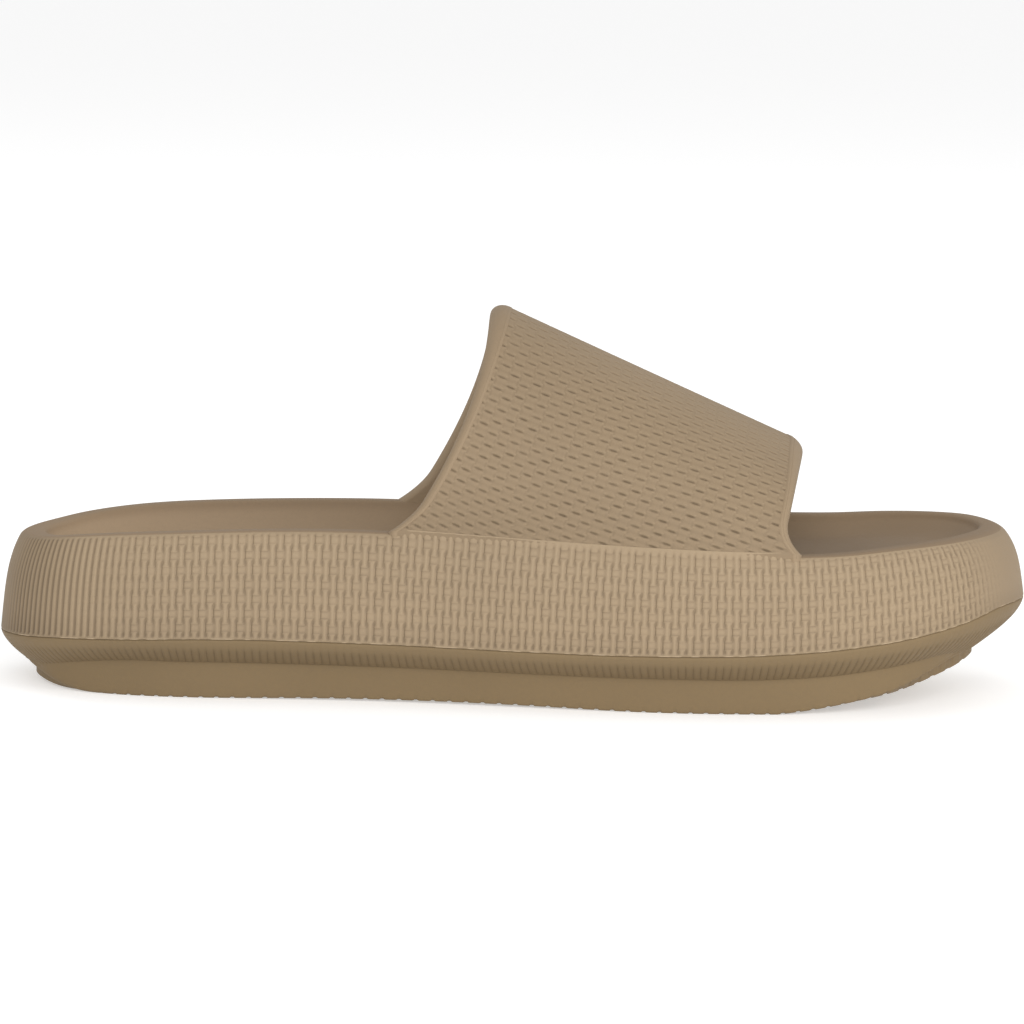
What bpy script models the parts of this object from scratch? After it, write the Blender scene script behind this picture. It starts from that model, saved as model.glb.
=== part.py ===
"""Moulded foam slide sandal, right shoe.

Two pieces: the upper body, which is the strap, rim, side wall and footbed moulded whole, and the outsole
under it, which starts at the line round the shoe's widest level.
Metres. +X runs to the toe, +Y to the medial side, +Z up. The origin is on the floor under the sole's middle.
"""

import math

import bmesh
import bpy
import numpy as np
from mathutils import Matrix

# Plan of the sole
LENGTH = 0.2812
BALL_HALF_WIDTH = 0.0550

# Heights above the floor
RIM_HEIGHT = 0.0456
LINE_HEIGHT = 0.0173
BAND_HEIGHT = 0.0089
TOE_SPRING = 0.0214

# Side wall and rim
WALL_LEAN = 0.0050
TOE_WALL_LEAN = 0.0054
RIM_WIDTH = 0.0076
RIM_EDGE_RADIUS = 0.0030
TOE_EDGE_RADIUS = 0.0060
RIM_INNER_RADIUS = 0.0016
LINE_EDGE = 0.0007

# Footbed
FOREFOOT_DEPTH = 0.0058
HEEL_DEPTH = 0.0096
FOOTBED_SIDE = 0.0130
HEEL_HOLLOW = 0.0022
ARCH_RISE = 0.0034

# Strap
STRAP_WALL = 0.0066
STRAP_SIDE_EDGE = 0.0020
STRAP_CREST_EDGE = 0.0042
STRAP_CREST_REAR = -0.0075
STRAP_CREST_LENGTH = 0.0867
STRAP_HEIGHT_REAR = 0.1060
STRAP_HEIGHT_FRONT = 0.0675
STRAP_REAR_SPREAD = 0.0222
STRAP_FRONT_DRAW = 0.0069
STRAP_SKEW = 0.0040
STRAP_FOOT_INSET = 0.0058
STRAP_SINK = 0.0060
STRAP_FILLET = 0.0085
STRAP_REAR_FLARE = 0.0039
STRAP_FRONT_FLARE = 0.0058

# Outsole
BAND_INSET = 0.0082
BAND_STEP = 0.0007
RIB_PITCH = 0.0020
RIB_DEPTH = 0.0004
TREAD_INSET = 0.0098
TREAD_EDGE = 0.0010
TIP_OUTSET = 0.0029
TIP_BAND_OUTSET = 0.0017
GROOVE_PITCH = 0.0088
GROOVE_WIDTH = 0.0020
GROOVE_DEPTH = 0.0012
GROOVE_MARGIN = 0.0050
LINE_SET = 0.0002
PART_GAP = 0.0003

# Shares of half the length between which the side's rounding changes to the toe's
TOE_START = 0.55
TOE_FULL = 0.98

# Share of half the length past which the outsole reaches further out at the heel's and toe's tips
TIP_START = 0.75

# Curves: the wall's even share of its lean, and the powers of the other bends
WALL_EVEN_SHARE = 0.45
WALL_POWER = 4
FOOTBED_SIDE_POWER = 2.6
STRAP_ARCH_POWER = 2.45
STRAP_REAR_POWER = 1.77
STRAP_FRONT_POWER = 0.54
STRAP_EDGE_POWER = 4

# Ribbed band between the smooth band and the line: its bend, as shares of its inset and of its height
BAND_BEND_INSET = 0.22
BAND_BEND_HEIGHT = 0.64

# Mesh steps
SIDE_STEPS = 48
FOOTBED_STEPS = 10
LID_STEPS = 2
ARCH_STEPS = 34
STRAP_STEPS = 9
EDGE_STEPS = 3
WALL_ROWS = (0.3, 0.6, 0.82)
FOOTBED_SIDE_ROWS = (0.04, 0.15, 0.32, 0.55, 0.8, 1.0)

# Plan outline at the widest level, heel tip first, by the lateral side to the toe and back.
# Columns: x as a share of half the length, y as a share of the ball's half width.
OUTLINE = (
    (-1.000, 0.000),
    (-0.967, -0.330),
    (-0.872, -0.600),
    (-0.690, -0.755),
    (-0.440, -0.775),
    (-0.160, -0.825),
    (0.130, -0.945),
    (0.370, -1.000),
    (0.600, -0.945),
    (0.800, -0.765),
    (0.925, -0.480),
    (0.985, -0.160),
    (1.000, 0.120),
    (0.972, 0.440),
    (0.880, 0.735),
    (0.700, 0.940),
    (0.450, 1.000),
    (0.180, 0.935),
    (-0.100, 0.825),
    (-0.400, 0.765),
    (-0.690, 0.755),
    (-0.872, 0.600),
    (-0.967, 0.330),
)

# Side view of the sole. Columns: station as a share of half the length, then the tread as a share of
# TOE_SPRING, the smooth band's top of BAND_HEIGHT, the line of LINE_HEIGHT and the rim of RIM_HEIGHT.
STATIONS = (
    (-1.00, 0.241, 0.710, 0.815, 0.900),
    (-0.95, 0.126, 0.760, 0.860, 0.912),
    (-0.88, 0.027, 0.935, 0.910, 0.938),
    (-0.78, 0.000, 1.100, 0.950, 0.968),
    (-0.60, 0.000, 1.140, 1.005, 1.000),
    (-0.30, 0.025, 1.120, 0.997, 1.022),
    (0.00, 0.025, 1.080, 0.965, 0.989),
    (0.26, 0.000, 1.075, 0.965, 0.960),
    (0.52, 0.000, 1.120, 1.025, 0.946),
    (0.64, 0.100, 1.220, 1.100, 0.955),
    (0.76, 0.254, 1.430, 1.225, 0.983),
    (0.88, 0.485, 1.660, 1.430, 1.005),
    (0.95, 0.655, 1.680, 1.580, 1.014),
    (1.00, 0.774, 1.710, 1.572, 1.014),
)
STATION_COLUMNS = ("station", "tread", "band", "line", "rim")
LEVELS = {"tread": TOE_SPRING, "band": BAND_HEIGHT, "line": LINE_HEIGHT, "rim": RIM_HEIGHT}

# Footbed along the shoe. Columns: station, depth below the rim (0 forefoot depth, 1 heel depth),
# hollow across (share of HEEL_HOLLOW) and rise under the arch (share of ARCH_RISE).
FOOTBED = (
    (-1.00, 1.00, 0.00, 0.00),
    (-0.83, 1.00, 0.00, 0.00),
    (-0.65, 1.00, 0.90, 0.00),
    (-0.35, 0.80, 0.60, 0.60),
    (-0.05, 0.45, 0.20, 1.00),
    (0.25, 0.12, 0.00, 0.45),
    (0.55, 0.00, 0.00, 0.00),
    (1.00, 0.00, 0.00, 0.00),
)


def smooth_column(share, table, column):
    """Read a table's column at shares of half the length, on a smooth curve through its rows."""
    stations = np.array([row[0] for row in table])
    values = np.array([row[column] for row in table])
    slopes = np.gradient(values, stations)
    share = np.clip(share, stations[0], stations[-1])
    k = np.clip(np.searchsorted(stations, share) - 1, 0, len(stations) - 2)
    span = stations[k + 1] - stations[k]
    t = (share - stations[k]) / span
    rise = t * t * (3 - 2 * t)
    start = t * (1 - t) ** 2 * span * slopes[k]
    end = t * t * (t - 1) * span * slopes[k + 1]
    return values[k] + (values[k + 1] - values[k]) * rise + start + end


def level(x, name):
    """Height of the tread, band, line or rim at x."""
    shares = smooth_column(x / (LENGTH / 2), STATIONS, STATION_COLUMNS.index(name))
    return np.maximum(LEVELS[name] * shares, 0.0)


def toe_share(x):
    """0 over most of the shoe, rising smoothly to 1 at the toe's tip."""
    share = np.clip((x / (LENGTH / 2) - TOE_START) / (TOE_FULL - TOE_START), 0, 1)
    return share * share * (3 - 2 * share)


def tip_share(x):
    """0 over most of the shoe, rising to 1 at the heel's and the toe's tips."""
    return np.clip((np.abs(x) / (LENGTH / 2) - TIP_START) / (1 - TIP_START), 0, 1) ** 2


def closed_curve(points, steps=60):
    """Cubic spline through the points, closed and dense."""
    pts = np.array(points)
    ahead = np.roll(pts, -1, axis=0)
    span = np.linalg.norm(ahead - pts, axis=1) ** 0.5
    before = np.roll(span, 1)
    count = len(pts)
    matrix = np.zeros((count, count))
    rows = np.arange(count)
    matrix[rows, rows] = 2 * (before + span)
    matrix[rows, (rows + 1) % count] = span
    matrix[rows, rows - 1] = before
    slope = (ahead - pts) / span[:, None]
    bend = np.linalg.solve(matrix, 6 * (slope - np.roll(slope, 1, axis=0)))
    bend_ahead = np.roll(bend, -1, axis=0)
    curve = []
    for i in range(count):
        t = np.linspace(0, span[i], steps, endpoint=False)[:, None]
        left = span[i] - t
        cubic = (bend[i] * left ** 3 + bend_ahead[i] * t ** 3) / (6 * span[i])
        line = (pts[i] / span[i] - bend[i] * span[i] / 6) * left
        line = line + (ahead[i] / span[i] - bend_ahead[i] * span[i] / 6) * t
        curve.append(cubic + line)
    return np.vstack(curve)


def plan_outline():
    """Dense plan curve at the widest level, centred on the origin and starting at the heel tip.

    Columns: x, y and the outward normal's x and y.
    """
    curve = closed_curve(OUTLINE) * [LENGTH / 2, BALL_HALF_WIDTH]
    low = curve.min(axis=0)
    high = curve.max(axis=0)
    curve = curve - (low + high) / 2
    curve[:, 0] *= LENGTH / (high[0] - low[0])
    along = np.roll(curve, -1, axis=0) - np.roll(curve, 1, axis=0)
    along /= np.linalg.norm(along, axis=1)[:, None]
    dense = np.column_stack([curve, along[:, 1], -along[:, 0]])
    return np.roll(dense, -int(curve[:, 0].argmin()), axis=0)


def station_ring(dense):
    """Points of the outline at shared stations: heel tip, lateral side, toe tip, medial side."""
    toe = int(dense[:, 0].argmax())
    stations = -np.cos(np.linspace(0, math.pi, SIDE_STEPS + 1)) * LENGTH / 2
    rows = []
    for side in (dense[:toe + 1], np.vstack([dense[toe:], dense[:1]])):
        side = side[np.argsort(side[:, 0])]
        rows.append(np.column_stack([np.interp(stations, side[:, 0], side[:, c]) for c in range(4)]))
    return np.vstack([rows[0], rows[1][-2:0:-1]])


def perimeter(points):
    """Length round a closed ring of plan points up to each of them, and its whole length."""
    steps = np.linalg.norm(np.roll(points[:, :2], -1, axis=0) - points[:, :2], axis=1)
    return np.concatenate([[0], np.cumsum(steps)])


def rib_ring(dense):
    """Points evenly spaced round the outline, two to a rib: crest, then groove."""
    length = perimeter(dense)
    ribs = round(length[-1] / RIB_PITCH)
    even = np.linspace(0, length[-1], 2 * ribs, endpoint=False)
    closed = np.vstack([dense, dense[:1]])
    return np.column_stack([np.interp(even, length, closed[:, c]) for c in range(4)])


DENSE_PLAN = plan_outline()
PLAN = station_ring(DENSE_PLAN)
RIB_PLAN = rib_ring(DENSE_PLAN)


def ring_at(inset, heights, plan=PLAN):
    """The outline moved inwards by inset, at heights given as a function of x."""
    flat = plan[:, :2] - plan[:, 2:] * np.broadcast_to(inset, len(plan))[:, None]
    return np.column_stack([flat, heights(flat[:, 0])])


def outline_y(x, side):
    """The outline's y at x, side -1 lateral or 1 medial."""
    half = PLAN[:SIDE_STEPS + 1] if side < 0 else np.vstack([PLAN[:1], PLAN[:SIDE_STEPS - 1:-1]])
    return np.interp(x, half[:, 0], half[:, 1])


def ring_faces(first, second, count):
    """Quads between two rings whose points start at these indices."""
    return [(first + i, first + (i + 1) % count, second + (i + 1) % count, second + i) for i in range(count)]


def bridge_faces(first, lower, second, upper):
    """Triangles between two rings of unlike counts, walked together by their share of the way round."""
    low_share = perimeter(lower) / perimeter(lower)[-1]
    high_share = perimeter(upper) / perimeter(upper)[-1]
    faces = []
    i = 0
    j = 0
    while i < len(lower) or j < len(upper):
        here = (first + i % len(lower), second + j % len(upper))
        if j == len(upper) or (i < len(lower) and low_share[i + 1] <= high_share[j + 1]):
            i += 1
            faces.append((here[0], first + i % len(lower), here[1]))
        else:
            j += 1
            faces.append((here[0], second + j % len(upper), here[1]))
    return faces


def cap(ring, start, height, steps, upwards):
    """A lid over a ring, as rows of steps across the shoe between points that share a station.

    height takes x, the share across from -1 lateral to 1 medial, and the z of a straight line there.
    Returns the new points and the faces.
    """
    count = len(ring)
    across = np.linspace(0, 1, steps + 1)[1:-1]
    points = []
    rows = [[0] * (steps + 1)]
    following = start + count
    for i in range(1, SIDE_STEPS):
        lateral = ring[i]
        medial = ring[count - i]
        new = lateral + (medial - lateral) * across[:, None]
        new[:, 2] = height(new[:, 0], across * 2 - 1, new[:, 2])
        points.append(new)
        rows.append([i] + list(range(following - start, following - start + len(across))) + [count - i])
        following += len(across)
    rows.append([SIDE_STEPS] * (steps + 1))
    faces = []
    for a, b in zip(rows, rows[1:]):
        for j in range(steps):
            face = [a[j], b[j], b[j + 1], a[j + 1]]
            face = [p for k, p in enumerate(face) if p != face[k - 1]]
            faces.append([start + p for p in (face if upwards else face[::-1])])
    return np.vstack(points), faces


def solid_from_rings(rings, upper, upper_steps):
    """A closed mesh: a straight lid under the first ring, the walls, and a lid of this height on the last."""
    points = [np.vstack(rings)]
    faces = []
    start = 0
    for lower, higher in zip(rings, rings[1:]):
        if len(lower) == len(higher):
            faces += ring_faces(start, start + len(lower), len(lower))
        else:
            faces += bridge_faces(start, lower, start + len(lower), higher)
        start += len(lower)
    total = start + len(rings[-1])
    lids = ((rings[0], 0, straight, LID_STEPS, False), (rings[-1], start, upper, upper_steps, True))
    for ring, start, height, steps, upwards in lids:
        count = len(ring)
        new, lid = cap(ring, start, height, steps, upwards)
        shift = total - (start + count)
        faces += [[p + shift if p >= start + count else p for p in face] for face in lid]
        points.append(new)
        total += len(new)
    return np.vstack(points), faces


def mesh_object(name, points, faces, collection):
    """A mesh object with its normals made consistent."""
    mesh = bpy.data.meshes.new(name)
    mesh.from_pydata(points.tolist(), [], faces)
    built = bmesh.new()
    built.from_mesh(mesh)
    bmesh.ops.recalc_face_normals(built, faces=built.faces)
    built.to_mesh(mesh)
    built.free()
    mesh.shade_smooth()
    mesh.set_sharp_from_angle(angle=math.radians(40))
    piece = bpy.data.objects.new(name, mesh)
    collection.objects.link(piece)
    return piece


def straight(x, across, z):
    """Lid height that stays on the straight line across."""
    return z


def wall_lean():
    """How far the wall's top stands inside the widest level, for each outline point."""
    return WALL_LEAN + (TOE_WALL_LEAN - WALL_LEAN) * toe_share(PLAN[:, 0])


def edge_radius():
    """Rounding of the rim's outer edge, larger at the toe."""
    return RIM_EDGE_RADIUS + (TOE_EDGE_RADIUS - RIM_EDGE_RADIUS) * toe_share(PLAN[:, 0])


def edge_start(lean, radius):
    """Angle at which the rim's rounding takes over from the wall's slope, for each outline point."""
    x = PLAN[:, 0]
    height = level(x, "rim") - radius - level(x, "line")
    return np.arctan(lean * (WALL_EVEN_SHARE + (1 - WALL_EVEN_SHARE) * WALL_POWER) / height)


def footbed_depth(x):
    """Depth of the footbed below the rim."""
    return FOREFOOT_DEPTH + (HEEL_DEPTH - FOREFOOT_DEPTH) * smooth_column(x / (LENGTH / 2), FOOTBED, 1)


def footbed_height(x, across, z):
    """Footbed between its side fillets: hollowed across, raised on the medial side under the arch."""
    share = x / (LENGTH / 2)
    hollow = HEEL_HOLLOW * smooth_column(share, FOOTBED, 2) * (1 - across ** 2)
    arch = ARCH_RISE * smooth_column(share, FOOTBED, 3) * np.clip(across, 0, 1) ** 2 * (1 - across ** 4)
    return z - hollow + arch


def body_rings():
    """Rings of the body from its underside, up the wall, over the rim and down into the footbed."""
    floor = PART_GAP / 2
    lean = wall_lean()
    radius = edge_radius()
    start = edge_start(lean, radius)
    wall_top = radius * (1 - np.sin(start))
    rings = [
        ring_at(LINE_EDGE, lambda x: level(x, "line") + floor),
        ring_at(0, lambda x: level(x, "line") + floor + LINE_EDGE),
    ]
    for t in WALL_ROWS:
        inset = lean * (WALL_EVEN_SHARE * t + (1 - WALL_EVEN_SHARE) * t ** WALL_POWER)
        rings.append(ring_at(inset, lambda x, t=t: level(x, "line") * (1 - t)
                             + (level(x, "rim") - wall_top) * t))
    for k in range(EDGE_STEPS + 1):
        angle = start + (math.pi / 2 - start) * k / EDGE_STEPS
        inset = lean + radius * (np.cos(start) - np.cos(angle))
        rings.append(ring_at(inset, lambda x, a=angle: level(x, "rim") - radius * (1 - np.sin(a))))
    inner = lean + np.maximum(RIM_WIDTH, radius + RIM_INNER_RADIUS)
    for k in range(EDGE_STEPS):
        angle = math.pi / 2 * k / EDGE_STEPS
        inset = inner - RIM_INNER_RADIUS * (1 - math.sin(angle))
        drop = RIM_INNER_RADIUS * (1 - math.cos(angle))
        rings.append(ring_at(inset, lambda x, d=drop: level(x, "rim") - d))
    for q in FOOTBED_SIDE_ROWS:
        fall = 1 - (1 - q) ** FOOTBED_SIDE_POWER
        rings.append(ring_at(inner + FOOTBED_SIDE * q, lambda x, f=fall: level(x, "rim")
                             - RIM_INNER_RADIUS * (1 - f) - footbed_depth(x) * f))
    return rings


def arch_section(count):
    """The strap's section, evenly spaced along its length: side share from -1 to 1, and height share."""
    angle = np.linspace(0, math.pi, 2001)
    power = 2 / STRAP_ARCH_POWER
    side = -np.sign(np.cos(angle)) * np.abs(np.cos(angle)) ** power
    rise = np.abs(np.sin(angle)) ** power
    steps = np.hypot(np.diff(side) * BALL_HALF_WIDTH, np.diff(rise) * STRAP_HEIGHT_REAR / 2)
    length = np.concatenate([[0], np.cumsum(steps)])
    even = np.linspace(0, length[-1], count)
    return np.interp(even, length, side), np.interp(even, length, rise)


def strap_edges(rise, height):
    """X of the strap's rear and front edges at a height share and a height above the rim."""
    low = np.clip(1 - height / STRAP_FILLET, 0, None) ** 2
    crest_front = STRAP_CREST_REAR + STRAP_CREST_LENGTH
    rear = STRAP_CREST_REAR - STRAP_REAR_SPREAD * (1 - rise) ** STRAP_REAR_POWER - STRAP_REAR_FLARE * low
    front = crest_front - STRAP_FRONT_DRAW * (1 - rise) ** STRAP_FRONT_POWER + STRAP_FRONT_FLARE * low
    return rear, front


def strap_surface(side, rise, along):
    """Middle of the strap's wall at section shares side and rise, along from 0 rear to 1 front."""
    half_wall = STRAP_WALL / 2
    foot_rear, foot_front = strap_edges(0.0, STRAP_FILLET)
    foot_x = foot_rear + (foot_front - foot_rear) * along
    lateral = outline_y(foot_x, -1) + STRAP_FOOT_INSET + half_wall
    medial = outline_y(foot_x, 1) - STRAP_FOOT_INSET - half_wall
    crest = STRAP_HEIGHT_REAR + (STRAP_HEIGHT_FRONT - STRAP_HEIGHT_REAR) * along - half_wall
    base = level(foot_x, "rim")
    height = (crest - base) * rise
    rear, front = strap_edges(rise, height)
    x = rear + (front - rear) * along
    y = (lateral + medial) / 2 + STRAP_SKEW * rise + (medial - lateral) / 2 * side
    return np.stack([x, y, base + height], axis=-1)


def strap_normal(side_row, rise_row, along):
    """Points, outward normals and forward directions of the strap's middle surface, at one place along it."""
    here = strap_surface(side_row, rise_row, along)
    ahead = strap_surface(side_row, rise_row, along + 0.01)
    behind = strap_surface(side_row, rise_row, along - 0.01)
    fore = ahead - behind
    over = np.gradient(here, axis=0)
    over[0] = (0, 0, 1)
    over[-1] = (0, 0, -1)
    normal = np.cross(fore, over)
    normal /= np.linalg.norm(normal, axis=1)[:, None]
    fore /= np.linalg.norm(fore, axis=1)[:, None]
    return here, normal, fore


def strap_mesh():
    """The strap as a closed tube of stadium sections, with its feet sunk into the rim."""
    side, rise = arch_section(ARCH_STEPS + 1)
    half_wall = STRAP_WALL / 2
    edge = STRAP_SIDE_EDGE + (STRAP_CREST_EDGE - STRAP_SIDE_EDGE) * rise ** STRAP_EDGE_POWER
    trim = edge / STRAP_CREST_LENGTH
    edge = edge[:, None]
    places = np.linspace(trim, 1 - trim, STRAP_STEPS)
    loop = []
    for along in places:
        here, normal, fore = strap_normal(side, rise, along)
        loop.append(here + normal * half_wall)
    here, normal, fore = strap_normal(side, rise, places[-1])
    for k in range(1, 2 * EDGE_STEPS):
        angle = math.pi * k / (2 * EDGE_STEPS)
        loop.append(here + normal * half_wall * math.cos(angle) + fore * edge * math.sin(angle))
    for along in places[::-1]:
        here, normal, fore = strap_normal(side, rise, along)
        loop.append(here - normal * half_wall)
    here, normal, fore = strap_normal(side, rise, places[0])
    for k in range(1, 2 * EDGE_STEPS):
        angle = math.pi * k / (2 * EDGE_STEPS)
        loop.append(here - normal * half_wall * math.cos(angle) - fore * edge * math.sin(angle))
    rows = np.stack(loop, axis=1)
    sink = np.array([0, 0, STRAP_SINK])
    rows = np.concatenate([rows[:1] - sink, rows, rows[-1:] - sink])
    count = rows.shape[1]
    faces = []
    for k in range(len(rows) - 1):
        faces += ring_faces(k * count, (k + 1) * count, count)
    faces.append(list(range(count)))
    faces.append(list(range((len(rows) - 1) * count, len(rows) * count))[::-1])
    return rows.reshape(-1, 3), faces


def outsole_rings():
    """Rings of the outsole from the tread's edge, up the smooth band and out to the line."""
    top = PART_GAP / 2

    def band_top(x):
        return np.maximum(level(x, "band"), level(x, "tread") + 1.5 * TREAD_EDGE)

    def line_under(x):
        return level(x, "line") - top

    def bend(x):
        return band_top(x) + (line_under(x) - band_top(x)) * BAND_BEND_HEIGHT

    groove = np.arange(len(RIB_PLAN)) % 2
    tread_inset = TREAD_INSET - TIP_OUTSET * tip_share(PLAN[:, 0])
    band_inset = BAND_INSET - TIP_BAND_OUTSET * tip_share(PLAN[:, 0])
    rib_inset = BAND_INSET - TIP_BAND_OUTSET * tip_share(RIB_PLAN[:, 0])
    return [
        ring_at(tread_inset + TREAD_EDGE, lambda x: level(x, "tread")),
        ring_at(tread_inset + 0.3 * TREAD_EDGE, lambda x: level(x, "tread") + 0.3 * TREAD_EDGE),
        ring_at(tread_inset, lambda x: level(x, "tread") + TREAD_EDGE),
        ring_at(band_inset + BAND_STEP, lambda x: band_top(x) - 0.2 * TREAD_EDGE),
        ring_at(rib_inset + RIB_DEPTH * groove, band_top, RIB_PLAN),
        ring_at(band_inset * BAND_BEND_INSET, bend),
        ring_at(LINE_SET, lambda x: line_under(x) - LINE_EDGE),
        ring_at(LINE_EDGE, line_under),
    ]


def groove_bars(collection):
    """Bars that cut the tread's main grooves, square to its curve and short of its edge, in one cutter."""
    built = bmesh.new()
    inset = TREAD_INSET + TREAD_EDGE + GROOVE_MARGIN
    count = int((LENGTH / 2 - 2 * inset) / GROOVE_PITCH)
    for k in range(-count, count + 1):
        x = k * GROOVE_PITCH
        lateral = outline_y(x, -1) + inset
        medial = outline_y(x, 1) - inset
        nearby = level(np.array([x - GROOVE_WIDTH, x, x + GROOVE_WIDTH]), "tread")
        slope = math.atan2(nearby[2] - nearby[0], 2 * GROOVE_WIDTH)
        place = Matrix.Translation((x, (lateral + medial) / 2, nearby[1])) @ Matrix.Rotation(-slope, 4, "Y")
        size = Matrix.Diagonal((GROOVE_WIDTH, medial - lateral, 2 * GROOVE_DEPTH, 1.0))
        bmesh.ops.create_cube(built, size=1.0, matrix=place @ size)
    mesh = bpy.data.meshes.new("groove_bars")
    built.to_mesh(mesh)
    built.free()
    cutter = bpy.data.objects.new("groove_bars", mesh)
    cutter.hide_render = True
    cutter.display_type = "WIRE"
    collection.objects.link(cutter)
    return cutter


def boolean(piece, cutter, operation):
    """Join or cut a piece with another solid."""
    modifier = piece.modifiers.new(operation.lower(), "BOOLEAN")
    modifier.operation = operation
    modifier.object = cutter
    modifier.solver = "EXACT"


def foam(name, color, roughness):
    """A matte moulded foam."""
    material = bpy.data.materials.new(name)
    material.use_nodes = True
    shader = material.node_tree.nodes["Principled BSDF"]
    shader.inputs["Base Color"].default_value = (*color, 1)
    shader.inputs["Roughness"].default_value = roughness
    shader.inputs["Metallic"].default_value = 0.0
    return material


def collection_named(name):
    """A new collection in the scene."""
    collection = bpy.data.collections.new(name)
    bpy.context.scene.collection.children.link(collection)
    return collection


def main():
    """Build the slide."""
    for old in list(bpy.data.objects):
        bpy.data.objects.remove(old, do_unlink=True)
    slide = collection_named("slide_sandal")
    cutters = collection_named("cutters")

    points, faces = solid_from_rings(body_rings(), footbed_height, FOOTBED_STEPS)
    body = mesh_object("upper_body", points, faces, slide)
    body.data.materials.append(foam("body_foam", (0.38, 0.29, 0.19), 0.75))

    points, faces = strap_mesh()
    strap = mesh_object("strap_form", points, faces, cutters)
    strap.hide_render = True
    strap.display_type = "WIRE"
    boolean(body, strap, "UNION")

    points, faces = solid_from_rings(outsole_rings(), straight, LID_STEPS)
    outsole = mesh_object("outsole", points, faces, slide)
    outsole.data.materials.append(foam("outsole_foam", (0.29, 0.21, 0.13), 0.7))
    boolean(outsole, groove_bars(cutters), "DIFFERENCE")


main()
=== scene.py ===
"""Looks of a moulded foam slide sandal: woven relief, smooth borders, ribbed undercut and matte foam.

Metres. +X runs to the toe, +Y to the medial side, +Z up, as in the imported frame.
"""

import logging
import math
from dataclasses import dataclass, field
from enum import Enum
from functools import cached_property

import bpy
import numpy as np
from mathutils import Matrix, Vector


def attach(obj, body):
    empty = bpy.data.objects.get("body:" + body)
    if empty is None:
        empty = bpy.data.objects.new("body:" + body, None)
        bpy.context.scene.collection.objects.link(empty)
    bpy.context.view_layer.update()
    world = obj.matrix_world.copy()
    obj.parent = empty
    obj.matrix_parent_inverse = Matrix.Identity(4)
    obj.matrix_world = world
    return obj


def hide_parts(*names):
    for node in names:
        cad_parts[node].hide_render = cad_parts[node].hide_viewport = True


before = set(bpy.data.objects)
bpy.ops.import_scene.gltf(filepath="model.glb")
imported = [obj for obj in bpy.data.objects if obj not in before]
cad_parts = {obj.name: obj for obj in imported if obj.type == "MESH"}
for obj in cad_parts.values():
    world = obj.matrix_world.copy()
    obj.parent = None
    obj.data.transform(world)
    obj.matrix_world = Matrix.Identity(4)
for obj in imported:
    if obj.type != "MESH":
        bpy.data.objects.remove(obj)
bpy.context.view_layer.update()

log = logging.getLogger("slide_sandal")
Array = np.ndarray
ArrayPair = tuple[np.ndarray, np.ndarray]
Span = tuple[float, float]
Triple = tuple[float, float, float]
ROOT_BODY = "root"
PLAIN_TONE = 0.5
# Painted shade for the panels' backs, hidden between the pieces.
BACK_TONE = 0.3


class Side(Enum):
    """A side of the right shoe, by the sign of its Y."""

    LATERAL = -1
    MEDIAL = 1


class Level(Enum):
    """A height of the sole that changes along the shoe, by its column in STATIONS."""

    TREAD = 1
    BAND = 2
    LINE = 3
    RIM = 4


# Plan outline at the widest level, heel tip first, by the lateral side to the toe and back.
# Columns: x as a share of half the length, y as a share of the ball's half width.
OUTLINE = (
    (-1.000, 0.000),
    (-0.967, -0.330),
    (-0.872, -0.600),
    (-0.690, -0.755),
    (-0.440, -0.775),
    (-0.160, -0.825),
    (0.130, -0.945),
    (0.370, -1.000),
    (0.600, -0.945),
    (0.800, -0.765),
    (0.925, -0.480),
    (0.985, -0.160),
    (1.000, 0.120),
    (0.972, 0.440),
    (0.880, 0.735),
    (0.700, 0.940),
    (0.450, 1.000),
    (0.180, 0.935),
    (-0.100, 0.825),
    (-0.400, 0.765),
    (-0.690, 0.755),
    (-0.872, 0.600),
    (-0.967, 0.330),
)

# Side view of the sole. Columns: station as a share of half the length, then the tread, the smooth
# band's top, the line and the rim, each as a share of its own named height.
STATIONS = (
    (-1.00, 0.241, 0.710, 0.815, 0.900),
    (-0.95, 0.126, 0.760, 0.860, 0.912),
    (-0.88, 0.027, 0.935, 0.910, 0.938),
    (-0.78, 0.000, 1.100, 0.950, 0.968),
    (-0.60, 0.000, 1.140, 1.005, 1.000),
    (-0.30, 0.025, 1.120, 0.997, 1.022),
    (0.00, 0.025, 1.080, 0.965, 0.989),
    (0.26, 0.000, 1.075, 0.965, 0.960),
    (0.52, 0.000, 1.120, 1.025, 0.946),
    (0.64, 0.100, 1.220, 1.100, 0.955),
    (0.76, 0.254, 1.430, 1.225, 0.983),
    (0.88, 0.485, 1.660, 1.430, 1.005),
    (0.95, 0.655, 1.680, 1.580, 1.014),
    (1.00, 0.774, 1.710, 1.572, 1.014),
)

# Footbed along the shoe. Columns: station, depth below the rim (0 forefoot depth, 1 heel depth),
# hollow across (share of the heel hollow) and rise under the arch (share of the arch rise).
FOOTBED = (
    (-1.00, 1.00, 0.00, 0.00),
    (-0.83, 1.00, 0.00, 0.00),
    (-0.65, 1.00, 0.90, 0.00),
    (-0.35, 0.80, 0.60, 0.60),
    (-0.05, 0.45, 0.20, 1.00),
    (0.25, 0.12, 0.00, 0.45),
    (0.55, 0.00, 0.00, 0.00),
    (1.00, 0.00, 0.00, 0.00),
)


def mix(start: Array | float, end: Array | float, share: Array | float) -> Array:
    """Go from start to end: start plus their difference times the share."""
    return start + (end - start) * share


def smoothstep(low: float, high: float, value: Array) -> Array:
    """Rise from 0 at low to 1 at high: t squared times (3 - 2t), with t the clipped share of the way."""
    t = np.clip((value - low) / (high - low), 0.0, 1.0)
    return t * t * (3.0 - 2.0 * t)


def bell(away: Array, width: float) -> Array:
    """A bell curve of height 1: the exponent of minus the square of the distance over the width."""
    return np.exp(-((away / width) ** 2))


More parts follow.
